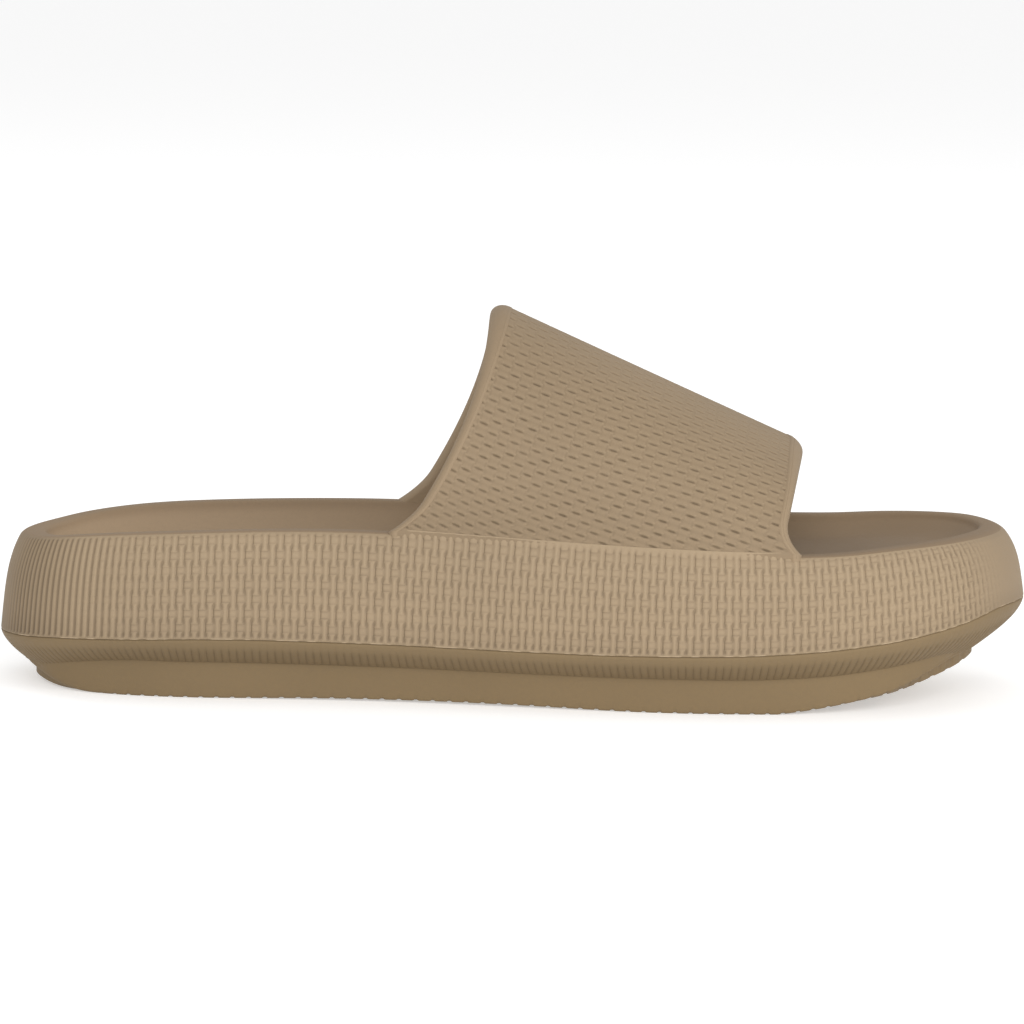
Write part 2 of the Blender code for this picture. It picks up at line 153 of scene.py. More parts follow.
def table_curve(share: Array, table: tuple, column: int) -> Array:
    """Read a table's column on a smooth curve through its rows.

    Between two rows the value is a cubic Hermite curve whose slopes are the column's central differences.

    Args:
        share: places along the shoe, as shares of half its length.
        table: rows whose first entry is the station.
        column: the entry to read.

    Returns:
        The value at each place.
    """
    stations = np.array([row[0] for row in table])
    values = np.array([row[column] for row in table])
    slopes = np.gradient(values, stations)
    share = np.clip(share, stations[0], stations[-1])
    k = np.clip(np.searchsorted(stations, share) - 1, 0, len(stations) - 2)
    span = stations[k + 1] - stations[k]
    t = (share - stations[k]) / span
    start = t * (1 - t) ** 2 * span * slopes[k]
    end = t * t * (t - 1) * span * slopes[k + 1]
    return values[k] + (values[k + 1] - values[k]) * t * t * (3 - 2 * t) + start + end


def scatter(column: Array, row: Array) -> Array:
    """A fixed value from -1 to 1 for each cell of a grid, with no visible order.

    The fraction left of a large multiple of the sine of a weighted sum of the two cell numbers.

    Args:
        column: the cells' column numbers.
        row: the cells' row numbers.

    Returns:
        The value of each cell.
    """
    column_weight, row_weight, spread = 12.9898, 78.233, 43758.5453
    wave = np.sin(column * column_weight + row * row_weight) * spread
    return 2.0 * (wave - np.floor(wave)) - 1.0


@dataclass(frozen=True)
class SoleShape:
    """Sizes and curves of the sole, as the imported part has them."""

    length: float = 0.2812
    ball_half_width: float = 0.0550
    rim_height: float = 0.0456
    line_height: float = 0.0173
    band_height: float = 0.0089
    toe_spring: float = 0.0214
    wall_lean: float = 0.0050
    toe_wall_lean: float = 0.0054
    rim_width: float = 0.0076
    rim_edge_radius: float = 0.0030
    toe_edge_radius: float = 0.0060
    rim_inner_radius: float = 0.0016
    forefoot_depth: float = 0.0058
    heel_depth: float = 0.0096
    footbed_side: float = 0.0130
    heel_hollow: float = 0.0022
    arch_rise: float = 0.0034
    toe_start: float = 0.55
    toe_full: float = 0.98
    tip_start: float = 0.75
    wall_even_share: float = 0.45
    wall_power: float = 4.0
    footbed_side_power: float = 2.6
    outline_steps: int = 200

    @cached_property
    def outline(self) -> Array:
        """Dense plan curve from the heel tip by the lateral side.

        A closed cubic spline through OUTLINE, its spans measured by the square root of their chords,
        centred on the origin and scaled to the shoe's length.

        Returns:
            A row for each point. Columns: x, y and the outward normal.
        """
        points = np.array(OUTLINE)
        ahead = np.roll(points, -1, axis=0)
        span = np.linalg.norm(ahead - points, axis=1) ** 0.5
        before = np.roll(span, 1)
        count = len(points)
        rows = np.arange(count)
        matrix = np.zeros((count, count))
        matrix[rows, rows] = 2 * (before + span)
        matrix[rows, (rows + 1) % count] = span
        matrix[rows, rows - 1] = before
        slope = (ahead - points) / span[:, None]
        bend = np.linalg.solve(matrix, 6 * (slope - np.roll(slope, 1, axis=0)))
        bend_ahead = np.roll(bend, -1, axis=0)
        t = span[:, None] * np.arange(self.outline_steps) / self.outline_steps
        left = span[:, None] - t
        width = span[:, None, None]
        cubic = (bend[:, None] * left[..., None] ** 3 + bend_ahead[:, None] * t[..., None] ** 3) / (6 * width)
        line = (points[:, None] / width - bend[:, None] * width / 6) * left[..., None]
        line = line + (ahead[:, None] / width - bend_ahead[:, None] * width / 6) * t[..., None]
        curve = (cubic + line).reshape(-1, 2) * [self.length / 2, self.ball_half_width]
        low = curve.min(axis=0)
        high = curve.max(axis=0)
        curve = curve - (low + high) / 2
        curve[:, 0] *= self.length / (high[0] - low[0])
        along = np.roll(curve, -1, axis=0) - np.roll(curve, 1, axis=0)
        along /= np.linalg.norm(along, axis=1)[:, None]
        dense = np.column_stack([curve, along[:, 1], -along[:, 0]])
        return np.roll(dense, -int(curve[:, 0].argmin()), axis=0)

    @cached_property
    def closed(self) -> Array:
        """The outline with its first point again at its end."""
        return np.vstack([self.outline, self.outline[:1]])

    @cached_property
    def toe(self) -> int:
        """Number of the outline's point at the toe tip."""
        return int(self.outline[:, 0].argmax())

    @cached_property
    def distances(self) -> Array:
        """Distance round the outline to each of its points, and its whole length at the end."""
        return np.concatenate([[0.0], np.cumsum(np.linalg.norm(np.diff(self.closed[:, :2], axis=0), axis=1))])

    def side_span(self, side: Side) -> Span:
        """Distances round the outline where a side starts and ends, at the heel and toe tips."""
        toe = float(self.distances[self.toe])
        return (0.0, toe) if side is Side.LATERAL else (toe, float(self.distances[-1]))

    def ring(self, distances: Array) -> Array:
        """Read the outline at distances round it.

        Args:
            distances: places round the outline.

        Returns:
            A row for each place. Columns: x, y and the outward normal.
        """
        ring = np.column_stack([np.interp(distances, self.distances, column) for column in self.closed.T])
        ring[:, 2:] /= np.linalg.norm(ring[:, 2:], axis=1)[:, None]
        return ring

    def outline_y(self, x: Array, side: Side) -> Array:
        """Read the outline's y on a side.

        Args:
            x: places along the shoe.
            side: which side.

        Returns:
            The outline's y at each place.
        """
        half = self.closed[: self.toe + 1] if side is Side.LATERAL else self.closed[self.toe :]
        half = half[np.argsort(half[:, 0])]
        return np.interp(x, half[:, 0], half[:, 1])

    def share(self, x: Array) -> Array:
        """X as a share of half the length."""
        return x / (self.length / 2)

    def level(self, x: Array, name: Level) -> Array:
        """Read a height that changes along the shoe.

        Args:
            x: places along the shoe.
            name: the tread, the band's top, the line or the rim.

        Returns:
            The height at each place, never below the floor.
        """
        sizes = {
            Level.TREAD: self.toe_spring,
            Level.BAND: self.band_height,
            Level.LINE: self.line_height,
            Level.RIM: self.rim_height,
        }
        return np.maximum(sizes[name] * table_curve(self.share(x), STATIONS, name.value), 0.0)

    def toe_share(self, x: Array) -> Array:
        """0 over most of the shoe, rising smoothly to 1 at the toe's tip."""
        return smoothstep(self.toe_start, self.toe_full, self.share(x))

    def tip_share(self, x: Array) -> Array:
        """0 over most of the shoe, rising to 1 at the heel's and the toe's tips."""
        return np.clip((np.abs(self.share(x)) - self.tip_start) / (1 - self.tip_start), 0, 1) ** 2

    def lean(self, x: Array) -> Array:
        """How far the wall's top stands inside the widest level."""
        return mix(self.wall_lean, self.toe_wall_lean, self.toe_share(x))

    def top_lean(self, x: Array) -> Array:
        """The wall's inset for each unit of its height's share, at its top."""
        return self.lean(x) * mix(self.wall_power, 1, self.wall_even_share)

    def edge_radius(self, x: Array) -> Array:
        """Rounding of the rim's outer edge, larger at the toe."""
        return mix(self.rim_edge_radius, self.toe_edge_radius, self.toe_share(x))

    def edge_start(self, x: Array) -> Array:
        """Angle at which the rim's rounding takes over from the wall's slope."""
        height = self.level(x, Level.RIM) - self.edge_radius(x) - self.level(x, Level.LINE)
        return np.arctan(self.top_lean(x) / height)

    def wall_top(self, x: Array) -> Array:
        """Height at which the wall ends and the rim's rounding starts."""
        return self.level(x, Level.RIM) - self.edge_radius(x) * (1 - np.sin(self.edge_start(x)))

    def footbed_depth(self, x: Array) -> Array:
        """Depth of the footbed below the rim."""
        return mix(self.forefoot_depth, self.heel_depth, table_curve(self.share(x), FOOTBED, 1))


def place(ring: Array, inset: Array, height: Array) -> Array:
    """Points of the outline moved inwards along its normal, at a height: plan point minus normal times inset.

    Args:
        ring: outline points, one row each.
        inset: distance inwards, of shape (points,) or (rows, points).
        height: z, of the same shape.

    Returns:
        The points, with x, y and z on the last axis.
    """
    inset, height = np.broadcast_arrays(inset, height)
    return np.stack([ring[:, 0] - ring[:, 2] * inset, ring[:, 1] - ring[:, 3] * inset, height], axis=-1)


def lid(ring: Array, steps: int) -> Array:
    """Rows straight across a ring, between points equally many places from its start.

    Args:
        ring: the ring's points, an even number of them.
        steps: spans across.

    Returns:
        The points inside the ring, a row for each pair of its points.
    """
    half = len(ring) // 2
    near = ring[1:half]
    far = ring[:half:-1]
    share = np.linspace(0, 1, steps + 1)[1:-1]
    return near[:, None] + (far - near)[:, None] * share[None, :, None]


@dataclass
class Surface:
    """A closed mesh in the making: points, faces and a tone for each point.

    Tone is painted light and shade: 0 is the painted shade of a deep recess, 0.5 plain foam and 1 a painted
    highlight, as on the bright flash.
    """

    points: list[Array] = field(default_factory=list)
    tones: list[Array] = field(default_factory=list)
    faces: list[Array] = field(default_factory=list)
    count: int = 0

    def add(self, points: Array, tone: Array | float = PLAIN_TONE) -> Array:
        """Add points.

        Args:
            points: the points, with x, y and z on the last axis.
            tone: their tone.

        Returns:
            Their indices, in the shape of their grid.
        """
        flat = points.reshape(-1, 3)
        index = np.arange(self.count, self.count + len(flat)).reshape(points.shape[:-1])
        self.points.append(flat)
        self.tones.append(np.broadcast_to(tone, points.shape[:-1]).ravel())
        self.count += len(flat)
        return index

    def quads(self, index: Array, close_columns: bool = False) -> None:
        """Join a grid of point indices into quads.

        Args:
            index: the grid.
            close_columns: whether its last column is joined to its first.
        """
        if close_columns:
            index = np.hstack([index, index[:, :1]])
        corners = (index[:-1, :-1], index[1:, :-1], index[1:, 1:], index[:-1, 1:])
        self.faces.append(np.stack([corner.ravel() for corner in corners], axis=1))

    def fan(self, index: Array) -> None:
        """Close a flat loop of points with one face."""
        self.faces.append(np.asarray(index).reshape(1, -1))

    def close(self, inner: Array, ring: Array, tone: Array | float = PLAIN_TONE) -> None:
        """Close a ring with a lid: quads between its rows, and triangles at the ring's two tips.

        Args:
            inner: the lid's points, a row for each pair of the ring's points.
            ring: the ring's indices.
            tone: the tone of the lid's points.
        """
        half = len(ring) // 2
        grid = self.add(inner, tone)
        rows = np.hstack([ring[1:half, None], grid, ring[:half:-1, None]])
        self.quads(rows)
        for tip, row, step in ((ring[0], rows[0], 1), (ring[half], rows[-1], -1)):
            pairs = np.stack([np.full(len(row) - 1, tip), row[:-1], row[1:]], axis=1)
            self.faces.append(pairs[:, ::step])

    def build(self, name: str, sharp: float = 50.0) -> bpy.types.Object:
        """Make the object, with its faces turned outwards and smooth but for its sharp edges.

        The sign of the volume, a sum of corner determinants over each face's fan, tells how it is wound.

        Args:
            name: the object's name.
            sharp: angle in degrees from which an edge stays sharp.

        Returns:
            The object.
        """
        points = np.concatenate(self.points)
        volume = 0.0
        for block in self.faces:
            first = points[block[:, 0]]
            for k in range(1, block.shape[1] - 1):
                volume += float(np.sum(first * np.cross(points[block[:, k]], points[block[:, k + 1]])))
        blocks = [block if volume > 0 else block[:, ::-1] for block in self.faces]
        sizes = np.concatenate([np.full(len(block), block.shape[1]) for block in blocks])
        corners = np.concatenate([block.ravel() for block in blocks])
        mesh = bpy.data.meshes.new(name)
        mesh.vertices.add(len(points))
        mesh.vertices.foreach_set("co", points.astype(np.float32).ravel())
        mesh.loops.add(len(corners))
        mesh.loops.foreach_set("vertex_index", corners.astype(np.int32))
        mesh.polygons.add(len(sizes))
        mesh.polygons.foreach_set("loop_start", np.concatenate([[0], np.cumsum(sizes)[:-1]]).astype(np.int32))
        mesh.update(calc_edges=True)
        mesh.validate()
        tone = mesh.attributes.new("tone", "FLOAT", "POINT")
        tone.data.foreach_set("value", np.concatenate(self.tones).astype(np.float32))
        mesh.shade_smooth()
        mesh.set_sharp_from_angle(angle=math.radians(sharp))
        piece = bpy.data.objects.new(name, mesh)
        bpy.context.scene.collection.objects.link(piece)
        return piece


def panel(name: str, front: Array, tone: Array, back_low: Array, back_high: Array) -> bpy.types.Object:
    """A closed panel: a fine front grid, and a back of one straight strip behind each of its rows.

    Args:
        name: the object's name.
        front: the front's points, of shape (rows, columns, 3).
        tone: the tone of each front point.
        back_low: a point behind each row's first column.
        back_high: a point behind each row's last column.

    Returns:
        The object.
    """
    surface = Surface()
    grid = surface.add(front, tone)
    back = surface.add(np.stack([back_low, back_high], axis=1), BACK_TONE)
    surface.quads(grid)
    surface.quads(np.stack([back[:, 0], grid[:, 0]], axis=1))
    surface.quads(np.stack([grid[:, -1], back[:, 1]], axis=1))
    surface.quads(back[:, ::-1])
    surface.fan(np.concatenate([grid[0], back[0, ::-1]]))
    surface.fan(np.concatenate([grid[-1], back[-1, ::-1]])[::-1])
    return surface.build(name)


@dataclass(frozen=True)
class WallWeave:
    """Moulded weave of the side wall: upright cords with knuckles, half a period apart on each next rib."""

    pitch: float = 0.00205
    half_period: float = 0.00372
    half_periods: float = 7.34
    first_knuckle: float = 0.74
    depth: float = 0.00033
    cord_half_width: float = 0.00056
    knuckle_half_width: float = 0.00092
    plain_cord_spread: float = 0.45
    knuckle_start: float = 0.00095
    knuckle_end: float = 0.00185
    line_place: float = 0.00088
    line_width: float = 0.00019
    line_drop: float = 0.28
    between_start: float = 0.00068
    between_end: float = 0.00098
    knuckle_drop: float = 0.26
    ridge_width: float = 0.00032
    ridge_rise: float = 0.6
    bridge_start: float = 0.00060
    bridge_end: float = 0.00130
    bridge_height: float = 0.42
    variation: float = 0.40
    crest_light: float = 0.13
    crest_level: float = 0.7
    groove_shade: float = 0.16
    groove_power: float = 1.5
    line_shade: float = 0.08
    row_margin: float = 0.03
    across: tuple[float, ...] = (0.0, 0.11, 0.27, 0.42, 0.58, 0.73, 0.89)
    upwards: tuple[float, ...] = (-0.44, -0.29, -0.237, -0.17, -0.08, 0.0, 0.08, 0.17, 0.237, 0.29, 0.44)

    def columns(self, start: float, end: float) -> ArrayPair:
        """Places round the outline, with the same samples over each rib.

        Args:
            start: distance round the outline where the ribs start.
            end: distance where they end.

        Returns:
            The distances, and the rib coordinate of each.
        """
        ribs = round((end - start) / self.pitch)
        rib = np.append((np.arange(ribs)[:, None] + np.array(self.across)).ravel(), ribs)
        return start + (end - start) * rib / ribs, rib

    def rows(self) -> Array:
        """Places up the wall, close together at the lines of each knuckle.

        Returns:
            The places, in half periods.
        """
        centres = self.first_knuckle + np.arange(-1, math.ceil(self.half_periods) + 1)
        rows = (centres[:, None] + np.array(self.upwards)).ravel()
        rows = rows[(rows > self.row_margin) & (rows < self.half_periods - self.row_margin)]
        return np.concatenate([[0.0], rows, [self.half_periods]])

    def relief(self, rib: Array, up: Array, cords_only: Array) -> ArrayPair:
        """Height share and tone of the weave.

        A rib's half width grows smoothly from cord to knuckle. Across it the height is a half superellipse,
        of power 2 on a cord and 4 on a knuckle. Two soft lines, each a bell curve, cross the knuckle, which
        is lower between them but for a small bell of a ridge in its middle. Beside the next rib's knuckle
        the groove is partly filled, which leaves a row of short slots.

        Args:
            rib: rib coordinate, with grooves at whole numbers.
            up: place up the wall, in half periods.
            cords_only: 1 where the knuckles turn into plain cord.

        Returns:
            Height from 0, the groove's floor, to 1, the cord's crest, and the tone: painted shade in the
            grooves
                and on the knuckles' lines, and painted highlight towards the crests.
        """
        number = np.floor(rib)
        off = np.abs(rib - number - 0.5) * self.pitch
        turn = (up - self.first_knuckle - number % 2.0) / 2.0
        apart = np.abs(turn - np.round(turn)) * 2.0 * self.half_period
        knuckle = (1.0 - smoothstep(self.knuckle_start, self.knuckle_end, apart)) * (1.0 - cords_only)
        spread = knuckle + self.plain_cord_spread * cords_only
        broad = mix(self.cord_half_width, self.knuckle_half_width, spread)
        power = 2.0 + 2.0 * knuckle
        height = np.clip(1.0 - (off / broad) ** power, 0.0, 1.0) ** (1.0 / power)
        line = bell(apart - self.line_place, self.line_width) * knuckle
        between = (1.0 - smoothstep(self.between_start, self.between_end, apart)) * knuckle
        ridge = bell(apart, self.ridge_width) * knuckle
        varied = 1.0 + self.variation * scatter(number, np.round(turn))
        drop = self.knuckle_drop * (between - self.ridge_rise * ridge) + self.line_drop * line
        height = height * (1.0 - drop * varied)
        beside = 1.0 - smoothstep(self.bridge_start, self.bridge_end, self.half_period - apart)
        height = np.maximum(height, self.bridge_height * beside * (1.0 - cords_only))
        light = self.crest_light * (height - self.crest_level)
        shade = self.groove_shade * (1.0 - height) ** self.groove_power + self.line_shade * line * varied
        return height, np.clip(PLAIN_TONE + light - shade, 0.0, 1.0)


@dataclass(frozen=True)
class StrapWeave:
    """Moulded weave of the strap: lines along its slope, with short recessed dashes between them."""

    slope: float = math.radians(21.0)
    line_pitch: float = 0.00176
    period: float = 0.0063
    dash_length: float = 0.0029
    dash_width: float = 0.00074
    dash_depth: float = 0.00034
    dash_share: float = 0.85
    dash_flat: float = 0.25
    dash_reach: float = 1.05
    cross_depth: float = 0.00015
    cross_share: float = 0.85
    cross_place: float = 1.22
    cross_width: float = 0.00024
    cross_gap: float = 0.6
    groove_width: float = 0.00028
    groove_share: float = 0.15
    glint_off: float = 0.00062
    glint_width: float = 0.00022
    glint_place: float = 0.95
    glint_length: float = 0.0006
    drift: float = 0.10
    drift_end: float = 0.080
    crest_stretch: float = 0.62
    crest_run: float = 0.015
    variation: float = 0.17
    dash_shade: float = 0.33
    dip_shade: float = 0.12
    edge_light: float = 0.02
    glint_light: float = 0.07

    def relief(self, around: Array, along: Array, calm: Array) -> ArrayPair:
        """Depth and tone of the strap's weave.

        A dash is a lens: its depth falls smoothly with the root of two summed powers, of the shares of its
        half width and half length, and differs a little from dash to dash. A shallow groove runs on between
        dashes, and shallow cross marks stand at the dashes' ends, so that the foam between reads as woven
        blocks. The lines stand further apart near the crest: their count lags by a share that fades with
        the exponent of the distance.

        Args:
            around: distance from the crest round the strap.
            along: distance along the slope.
            calm: 1 where only the dashes stay, 0 where the lines and blocks between them show too.

        Returns:
            The depth below the surface, in metres, and the tone: painted shade in the dashes, grooves
            and cross marks, and painted highlights on the blocks and beside the dashes' ends.
        """
        slack = self.crest_stretch * self.crest_run * (1 - np.exp(-np.maximum(around, 0) / self.crest_run))
        line = (around - slack) / self.line_pitch
        number = np.round(line)
        off = np.abs(line - number) * self.line_pitch
        pillow = np.cos(math.pi * (line - number)) ** 2
        phase = along / self.period + 0.5 * (number % 2.0)
        place_on = np.abs(phase - np.round(phase)) * self.period
        half = self.dash_length / 2
        reach = np.sqrt((off / (self.dash_width / 2)) ** 2 + (place_on / half) ** 4)
        dash = self.dash_share * (1 - smoothstep(self.dash_flat, self.dash_reach, reach))
        dash = dash * (1 + self.variation * scatter(number, np.round(phase)))
        groove = bell(off, self.groove_width)
        crossing = bell(place_on - self.cross_place * half, self.cross_width) * (1 - self.cross_gap * groove)
        between = 1 - calm
        dip = self.groove_share * (groove + pillow) * between + self.cross_share * crossing
        dip = np.clip(dip, 0, 1) * (1 - dash)
        # Painted highlights: small glints beside the lines, near the dashes' ends.
        glint = bell(off - self.glint_off, self.glint_width)
        glint = glint * bell(place_on - self.glint_place * half, self.glint_length)
        depth = self.dash_depth * dash + self.cross_depth * dip
        light = self.edge_light * (1 - pillow) * between + self.glint_light * glint
        return depth, np.clip(PLAIN_TONE - self.dash_shade * dash - self.dip_shade * dip + light, 0.0, 1.0)


@dataclass(frozen=True)
class FoamFinish:
    """A matte moulded foam: its colour, its painted shade for recesses and painted highlight, its grain and
    its gloss.
    """

    name: str
    plain: Triple
    # Colour of the painted shade in recesses and other shaded places, at tone 0; then the colour of the
    # painted highlights, at tone 1.
    painted_shade: Triple
    flash_and_highlight: Triple
    ior: float = 1.46
    specular: float = 0.38
    roughness: Span = (0.63, 0.76)
    mottle: float = 0.05
    cell_mottle: float = 0.03
    broad_noise: Triple = (14.0, 2.0, 0.5)
    cell_noise: Triple = (900.0, 3.0, 0.6)
    fine_noise: Triple = (3800.0, 2.0, 0.55)
    noise_range: Span = (0.3, 0.7)
    pebble_scale: float = 1500.0
    pebble_share: float = 0.5
    grain_strength: float = 0.30
    grain_height: float = 0.00012

    def material(self) -> bpy.types.Material:
        """Make the finish as a node material.

        The colour follows the tone attribute from the painted shade of recesses to the painted highlight, and
        two noises vary it, one a hand's breadth wide and one like the foam's cells. The grain is a bump of
        fine noise over soft pebbles.

        Returns:
            The material.
        """
        material = bpy.data.materials.new(self.name)
        material.use_nodes = True
        nodes = material.node_tree.nodes
        links = material.node_tree.links
        object_place = nodes.new("ShaderNodeTexCoord").outputs["Object"]

        def wire(node: bpy.types.Node, inputs: dict[str | int, object]) -> bpy.types.Node:
            """Set or link a node's inputs.

            Args:
                node: the node.
                inputs: a value or another node's output for each input.

            Returns:
                The node.
            """
            for label, value in inputs.items():
                if isinstance(value, bpy.types.NodeSocket):
                    links.new(value, node.inputs[label])
                else:
                    node.inputs[label].default_value = value
            return node

        def noise(look: Triple) -> bpy.types.NodeSocket:
            """A noise on Object coordinates, of a given scale, detail and roughness."""
            sizes = dict(zip(("Scale", "Detail", "Roughness"), look))
            return wire(nodes.new("ShaderNodeTexNoise"), {"Vector": object_place, **sizes}).outputs["Fac"]

        def ranged(source: bpy.types.NodeSocket, low: float, high: float) -> bpy.types.NodeSocket:
            """A noise's middle range spread from low to high."""
            ends = dict(zip(("From Min", "From Max", "To Min", "To Max"), (*self.noise_range, low, high)))
            return wire(nodes.new("ShaderNodeMapRange"), {"Value": source, **ends}).outputs["Result"]

        tone = nodes.new("ShaderNodeAttribute")
        tone.attribute_name = "tone"
        ramp = wire(nodes.new("ShaderNodeValToRGB"), {"Fac": tone.outputs["Fac"]})
        stops = ramp.color_ramp.elements
        # The ramp goes from the painted shade at tone 0, through the plain colour, to the painted highlight
        # at tone 1.
        stops[0].color = (*self.painted_shade, 1)
        stops[1].color = (*self.flash_and_highlight, 1)
        stops.new(PLAIN_TONE).color = (*self.plain, 1)
        cells = noise(self.cell_noise)
        shade = nodes.new("ShaderNodeMath")
        shade.operation = "MULTIPLY"
        wire(shade, {
            0: ranged(noise(self.broad_noise), 1 - self.mottle, 1 + self.mottle),
            1: ranged(cells, 1 - self.cell_mottle, 1 + self.cell_mottle),
        })
        tinted = nodes.new("ShaderNodeVectorMath")
        tinted.operation = "SCALE"
        wire(tinted, {0: ramp.outputs["Color"], "Scale": shade.outputs["Value"]})
        pebbles = nodes.new("ShaderNodeTexVoronoi")
        wire(pebbles, {"Scale": self.pebble_scale, "Vector": object_place})
        height = nodes.new("ShaderNodeMath")
        height.operation = "MULTIPLY_ADD"
        wire(height, {0: pebbles.outputs["Distance"], 1: self.pebble_share, 2: noise(self.fine_noise)})
        bump = wire(nodes.new("ShaderNodeBump"), {
            "Strength": self.grain_strength, "Distance": self.grain_height, "Height": height.outputs["Value"],
        })
        wire(nodes["Principled BSDF"], {
            "Base Color": tinted.outputs["Vector"], "Roughness": ranged(cells, *self.roughness),
            "Normal": bump.outputs["Normal"], "Metallic": 0.0, "IOR": self.ior,
            "Specular IOR Level": self.specular,
        })
        return material


def dress(piece: bpy.types.Object, material: bpy.types.Material, slot: str, *nodes: str) -> None:
    """Give a piece its finish and its body, and hide the CAD nodes that it stands for.

    Args:
        piece: the piece's object.
        material: its finish.
        slot: not used.
        nodes: the CAD nodes that it replaces.
    """
    piece.data.materials.append(material)
    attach(piece, ROOT_BODY)
    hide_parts(*nodes)
    log.info("%s: %d faces", piece.name, len(piece.data.polygons))


@dataclass
class UpperBody:
    """Rim, side wall and footbed: a smooth core, and a woven panel on each side of it."""

    shape: SoleShape
    strap: "Strap"
    weave: WallWeave = WallWeave()
    line_gap: float = 0.00004
    line_edge: float = 0.00030
    rib_top_angle: float = math.radians(62)
    fairing_height: float = 0.0013
    fairing_sink: float = 0.00003
    fairing_run: float = 0.0060
    panel_depth: float = 0.0014
    panel_back_inset: float = 0.0026
    panel_back_rise: float = 0.0006
    flash_lip: float = 0.00012
    flash_waves: tuple[Span, ...] = ((310.0, 0.0), (733.0, 1.3), (1459.0, 4.0))
    flash_span: Span = (-0.2, 1.2)
    flash_insets: Triple = (0.00042, 0.00022, 0.00010)
    flash_rise: float = 0.00016
    flash_tone: float = 0.42
    flash_light: float = 0.34
    tip_fade: Span = (-0.1395, -0.1335)
    toe_fade: Span = (0.1220, 0.1350)
    cord_fade: Span = (-0.1290, -0.0850)
    foot_fade: Span = (0.0, 0.15)
    top_fade: Span = (0.30, 0.10)
    strap_fade: Span = (0.60, 0.90)
    foot_shade: float = 0.07
    foot_shade_span: Span = (0.0, 0.28)
    top_light: float = 0.03
    top_light_span: Span = (0.5, 0.9)
    heel_shade: float = 0.20
    heel_shade_span: Span = (-0.139, -0.115)
    toe_end_shade: float = 0.12
    toe_end_span: Span = (0.118, 0.138)
    below_rim: Span = (0.0005, 0.0040)
    heel_light: float = 0.16
    heel_light_span: Span = (-0.090, 0.020)
    toe_shade: float = 0.15
    toe_shade_span: Span = (0.050, 0.110)
    toe_rim_share: float = 0.7
    core_columns: int = 1000
    core_depth: float = 0.00084
    core_foot: Span = (0.0004, 0.0002)
    core_shares: tuple[float, ...] = (0.02, 0.3, 0.6, 0.85, 1.0)
    core_turn: tuple[Span, ...] = ((0.80, 0.00084), (0.95, 0.00012), (0.99, 0.00003))
    rim_shares: tuple[float, ...] = (0.33, 0.66)
    rim_outer_steps: int = 9
    rim_inner_steps: int = 7
    side_shares: tuple[float, ...] = (
        0.02, 0.05, 0.09, 0.14, 0.2, 0.27, 0.35, 0.44, 0.54, 0.65, 0.76, 0.88, 1.0,
    )
    hollow_power: float = 1.5
    hollow_start: Span = (-0.84, -0.66)
    footbed_columns: int = 24

    def wall_section(self, ring: Array, share: Array) -> ArrayPair:
        """Section of the wall's face.

        The inset grows evenly at first and then with the fourth power of the share, to the wall's lean.

        Args:
            ring: outline points.
            share: shares of the wall's height.

        Returns:
            Inset and height.
        """
        x = ring[:, 0]
        low = self.shape.level(x, Level.LINE) + self.line_gap + self.line_edge
        inset = self.shape.lean(x) * mix(share ** self.shape.wall_power, share, self.shape.wall_even_share)
        return inset, mix(low, self.shape.wall_top(x), share)

    def edge_section(self, ring: Array, angle: Array) -> ArrayPair:
        """Section of the rim's outer edge, an arc.

        Args:
            ring: outline points.
            angle: angles above the level.

        Returns:
            Inset and height.
        """
        x = ring[:, 0]
        radius = self.shape.edge_radius(x)
        inset = self.shape.lean(x) + radius * (np.cos(self.shape.edge_start(x)) - np.cos(angle))
        return inset, self.shape.level(x, Level.RIM) - radius * (1 - np.sin(angle))

    def fairing_section(self, ring: Array, share: Array, side: Side) -> ArrayPair:
        """Section of the blend from the wall's top to the strap's outer face.

        A cubic Hermite curve that leaves the wall along its slope and meets the strap upright.

        Args:
            ring: outline points.
            share: shares of the blend's height.
            side: the strap's side.

        Returns:
            Inset and height.
        """
        x = ring[:, 0]
        low = self.shape.wall_top(x)
        high = self.shape.level(x, Level.RIM) + self.fairing_height
        lean = self.shape.lean(x)
        slope = self.shape.top_lean(x) / (low - self.shape.level(x, Level.LINE)) * (high - low)
        foot = np.abs(self.shape.outline_y(x, side) - self.strap.foot_y(x, side, self.fairing_height))
        foot = foot * np.abs(ring[:, 3]) + self.fairing_sink
        inset = mix(lean, foot, smoothstep(0, 1, share)) + slope * share * (1 - share) ** 2
        return inset, mix(low, high, share)

    def flash_and_highlight(self, ring: Array, distance: Array) -> ArrayPair:
        """The uneven flash along the parting line, a lip that waves by three sines of the distance.

        Its tone is a slight painted shade along the line, and a painted highlight where the lip stands out.

        Args:
            ring: outline points.
            distance: their distances round the outline.

        Returns:
            Its three rows of points and their tones.
        """
        wave = sum(np.sin(distance * rate + start) for rate, start in self.flash_waves)
        lip = self.flash_lip * smoothstep(*self.flash_span, wave)
        line = self.shape.level(ring[:, 0], Level.LINE) + self.line_gap
        under, low, high = self.flash_insets
        points = np.stack([
            place(ring, under, line),
            place(ring, low - lip, line),
            place(ring, high - lip, line + self.flash_rise),
        ])
        # Painted highlight on the lip, over a slight painted shade along the parting line.
        bright = self.flash_tone + self.flash_light * lip / self.flash_lip
        return points, np.stack([np.full_like(bright, self.flash_tone), bright, bright])

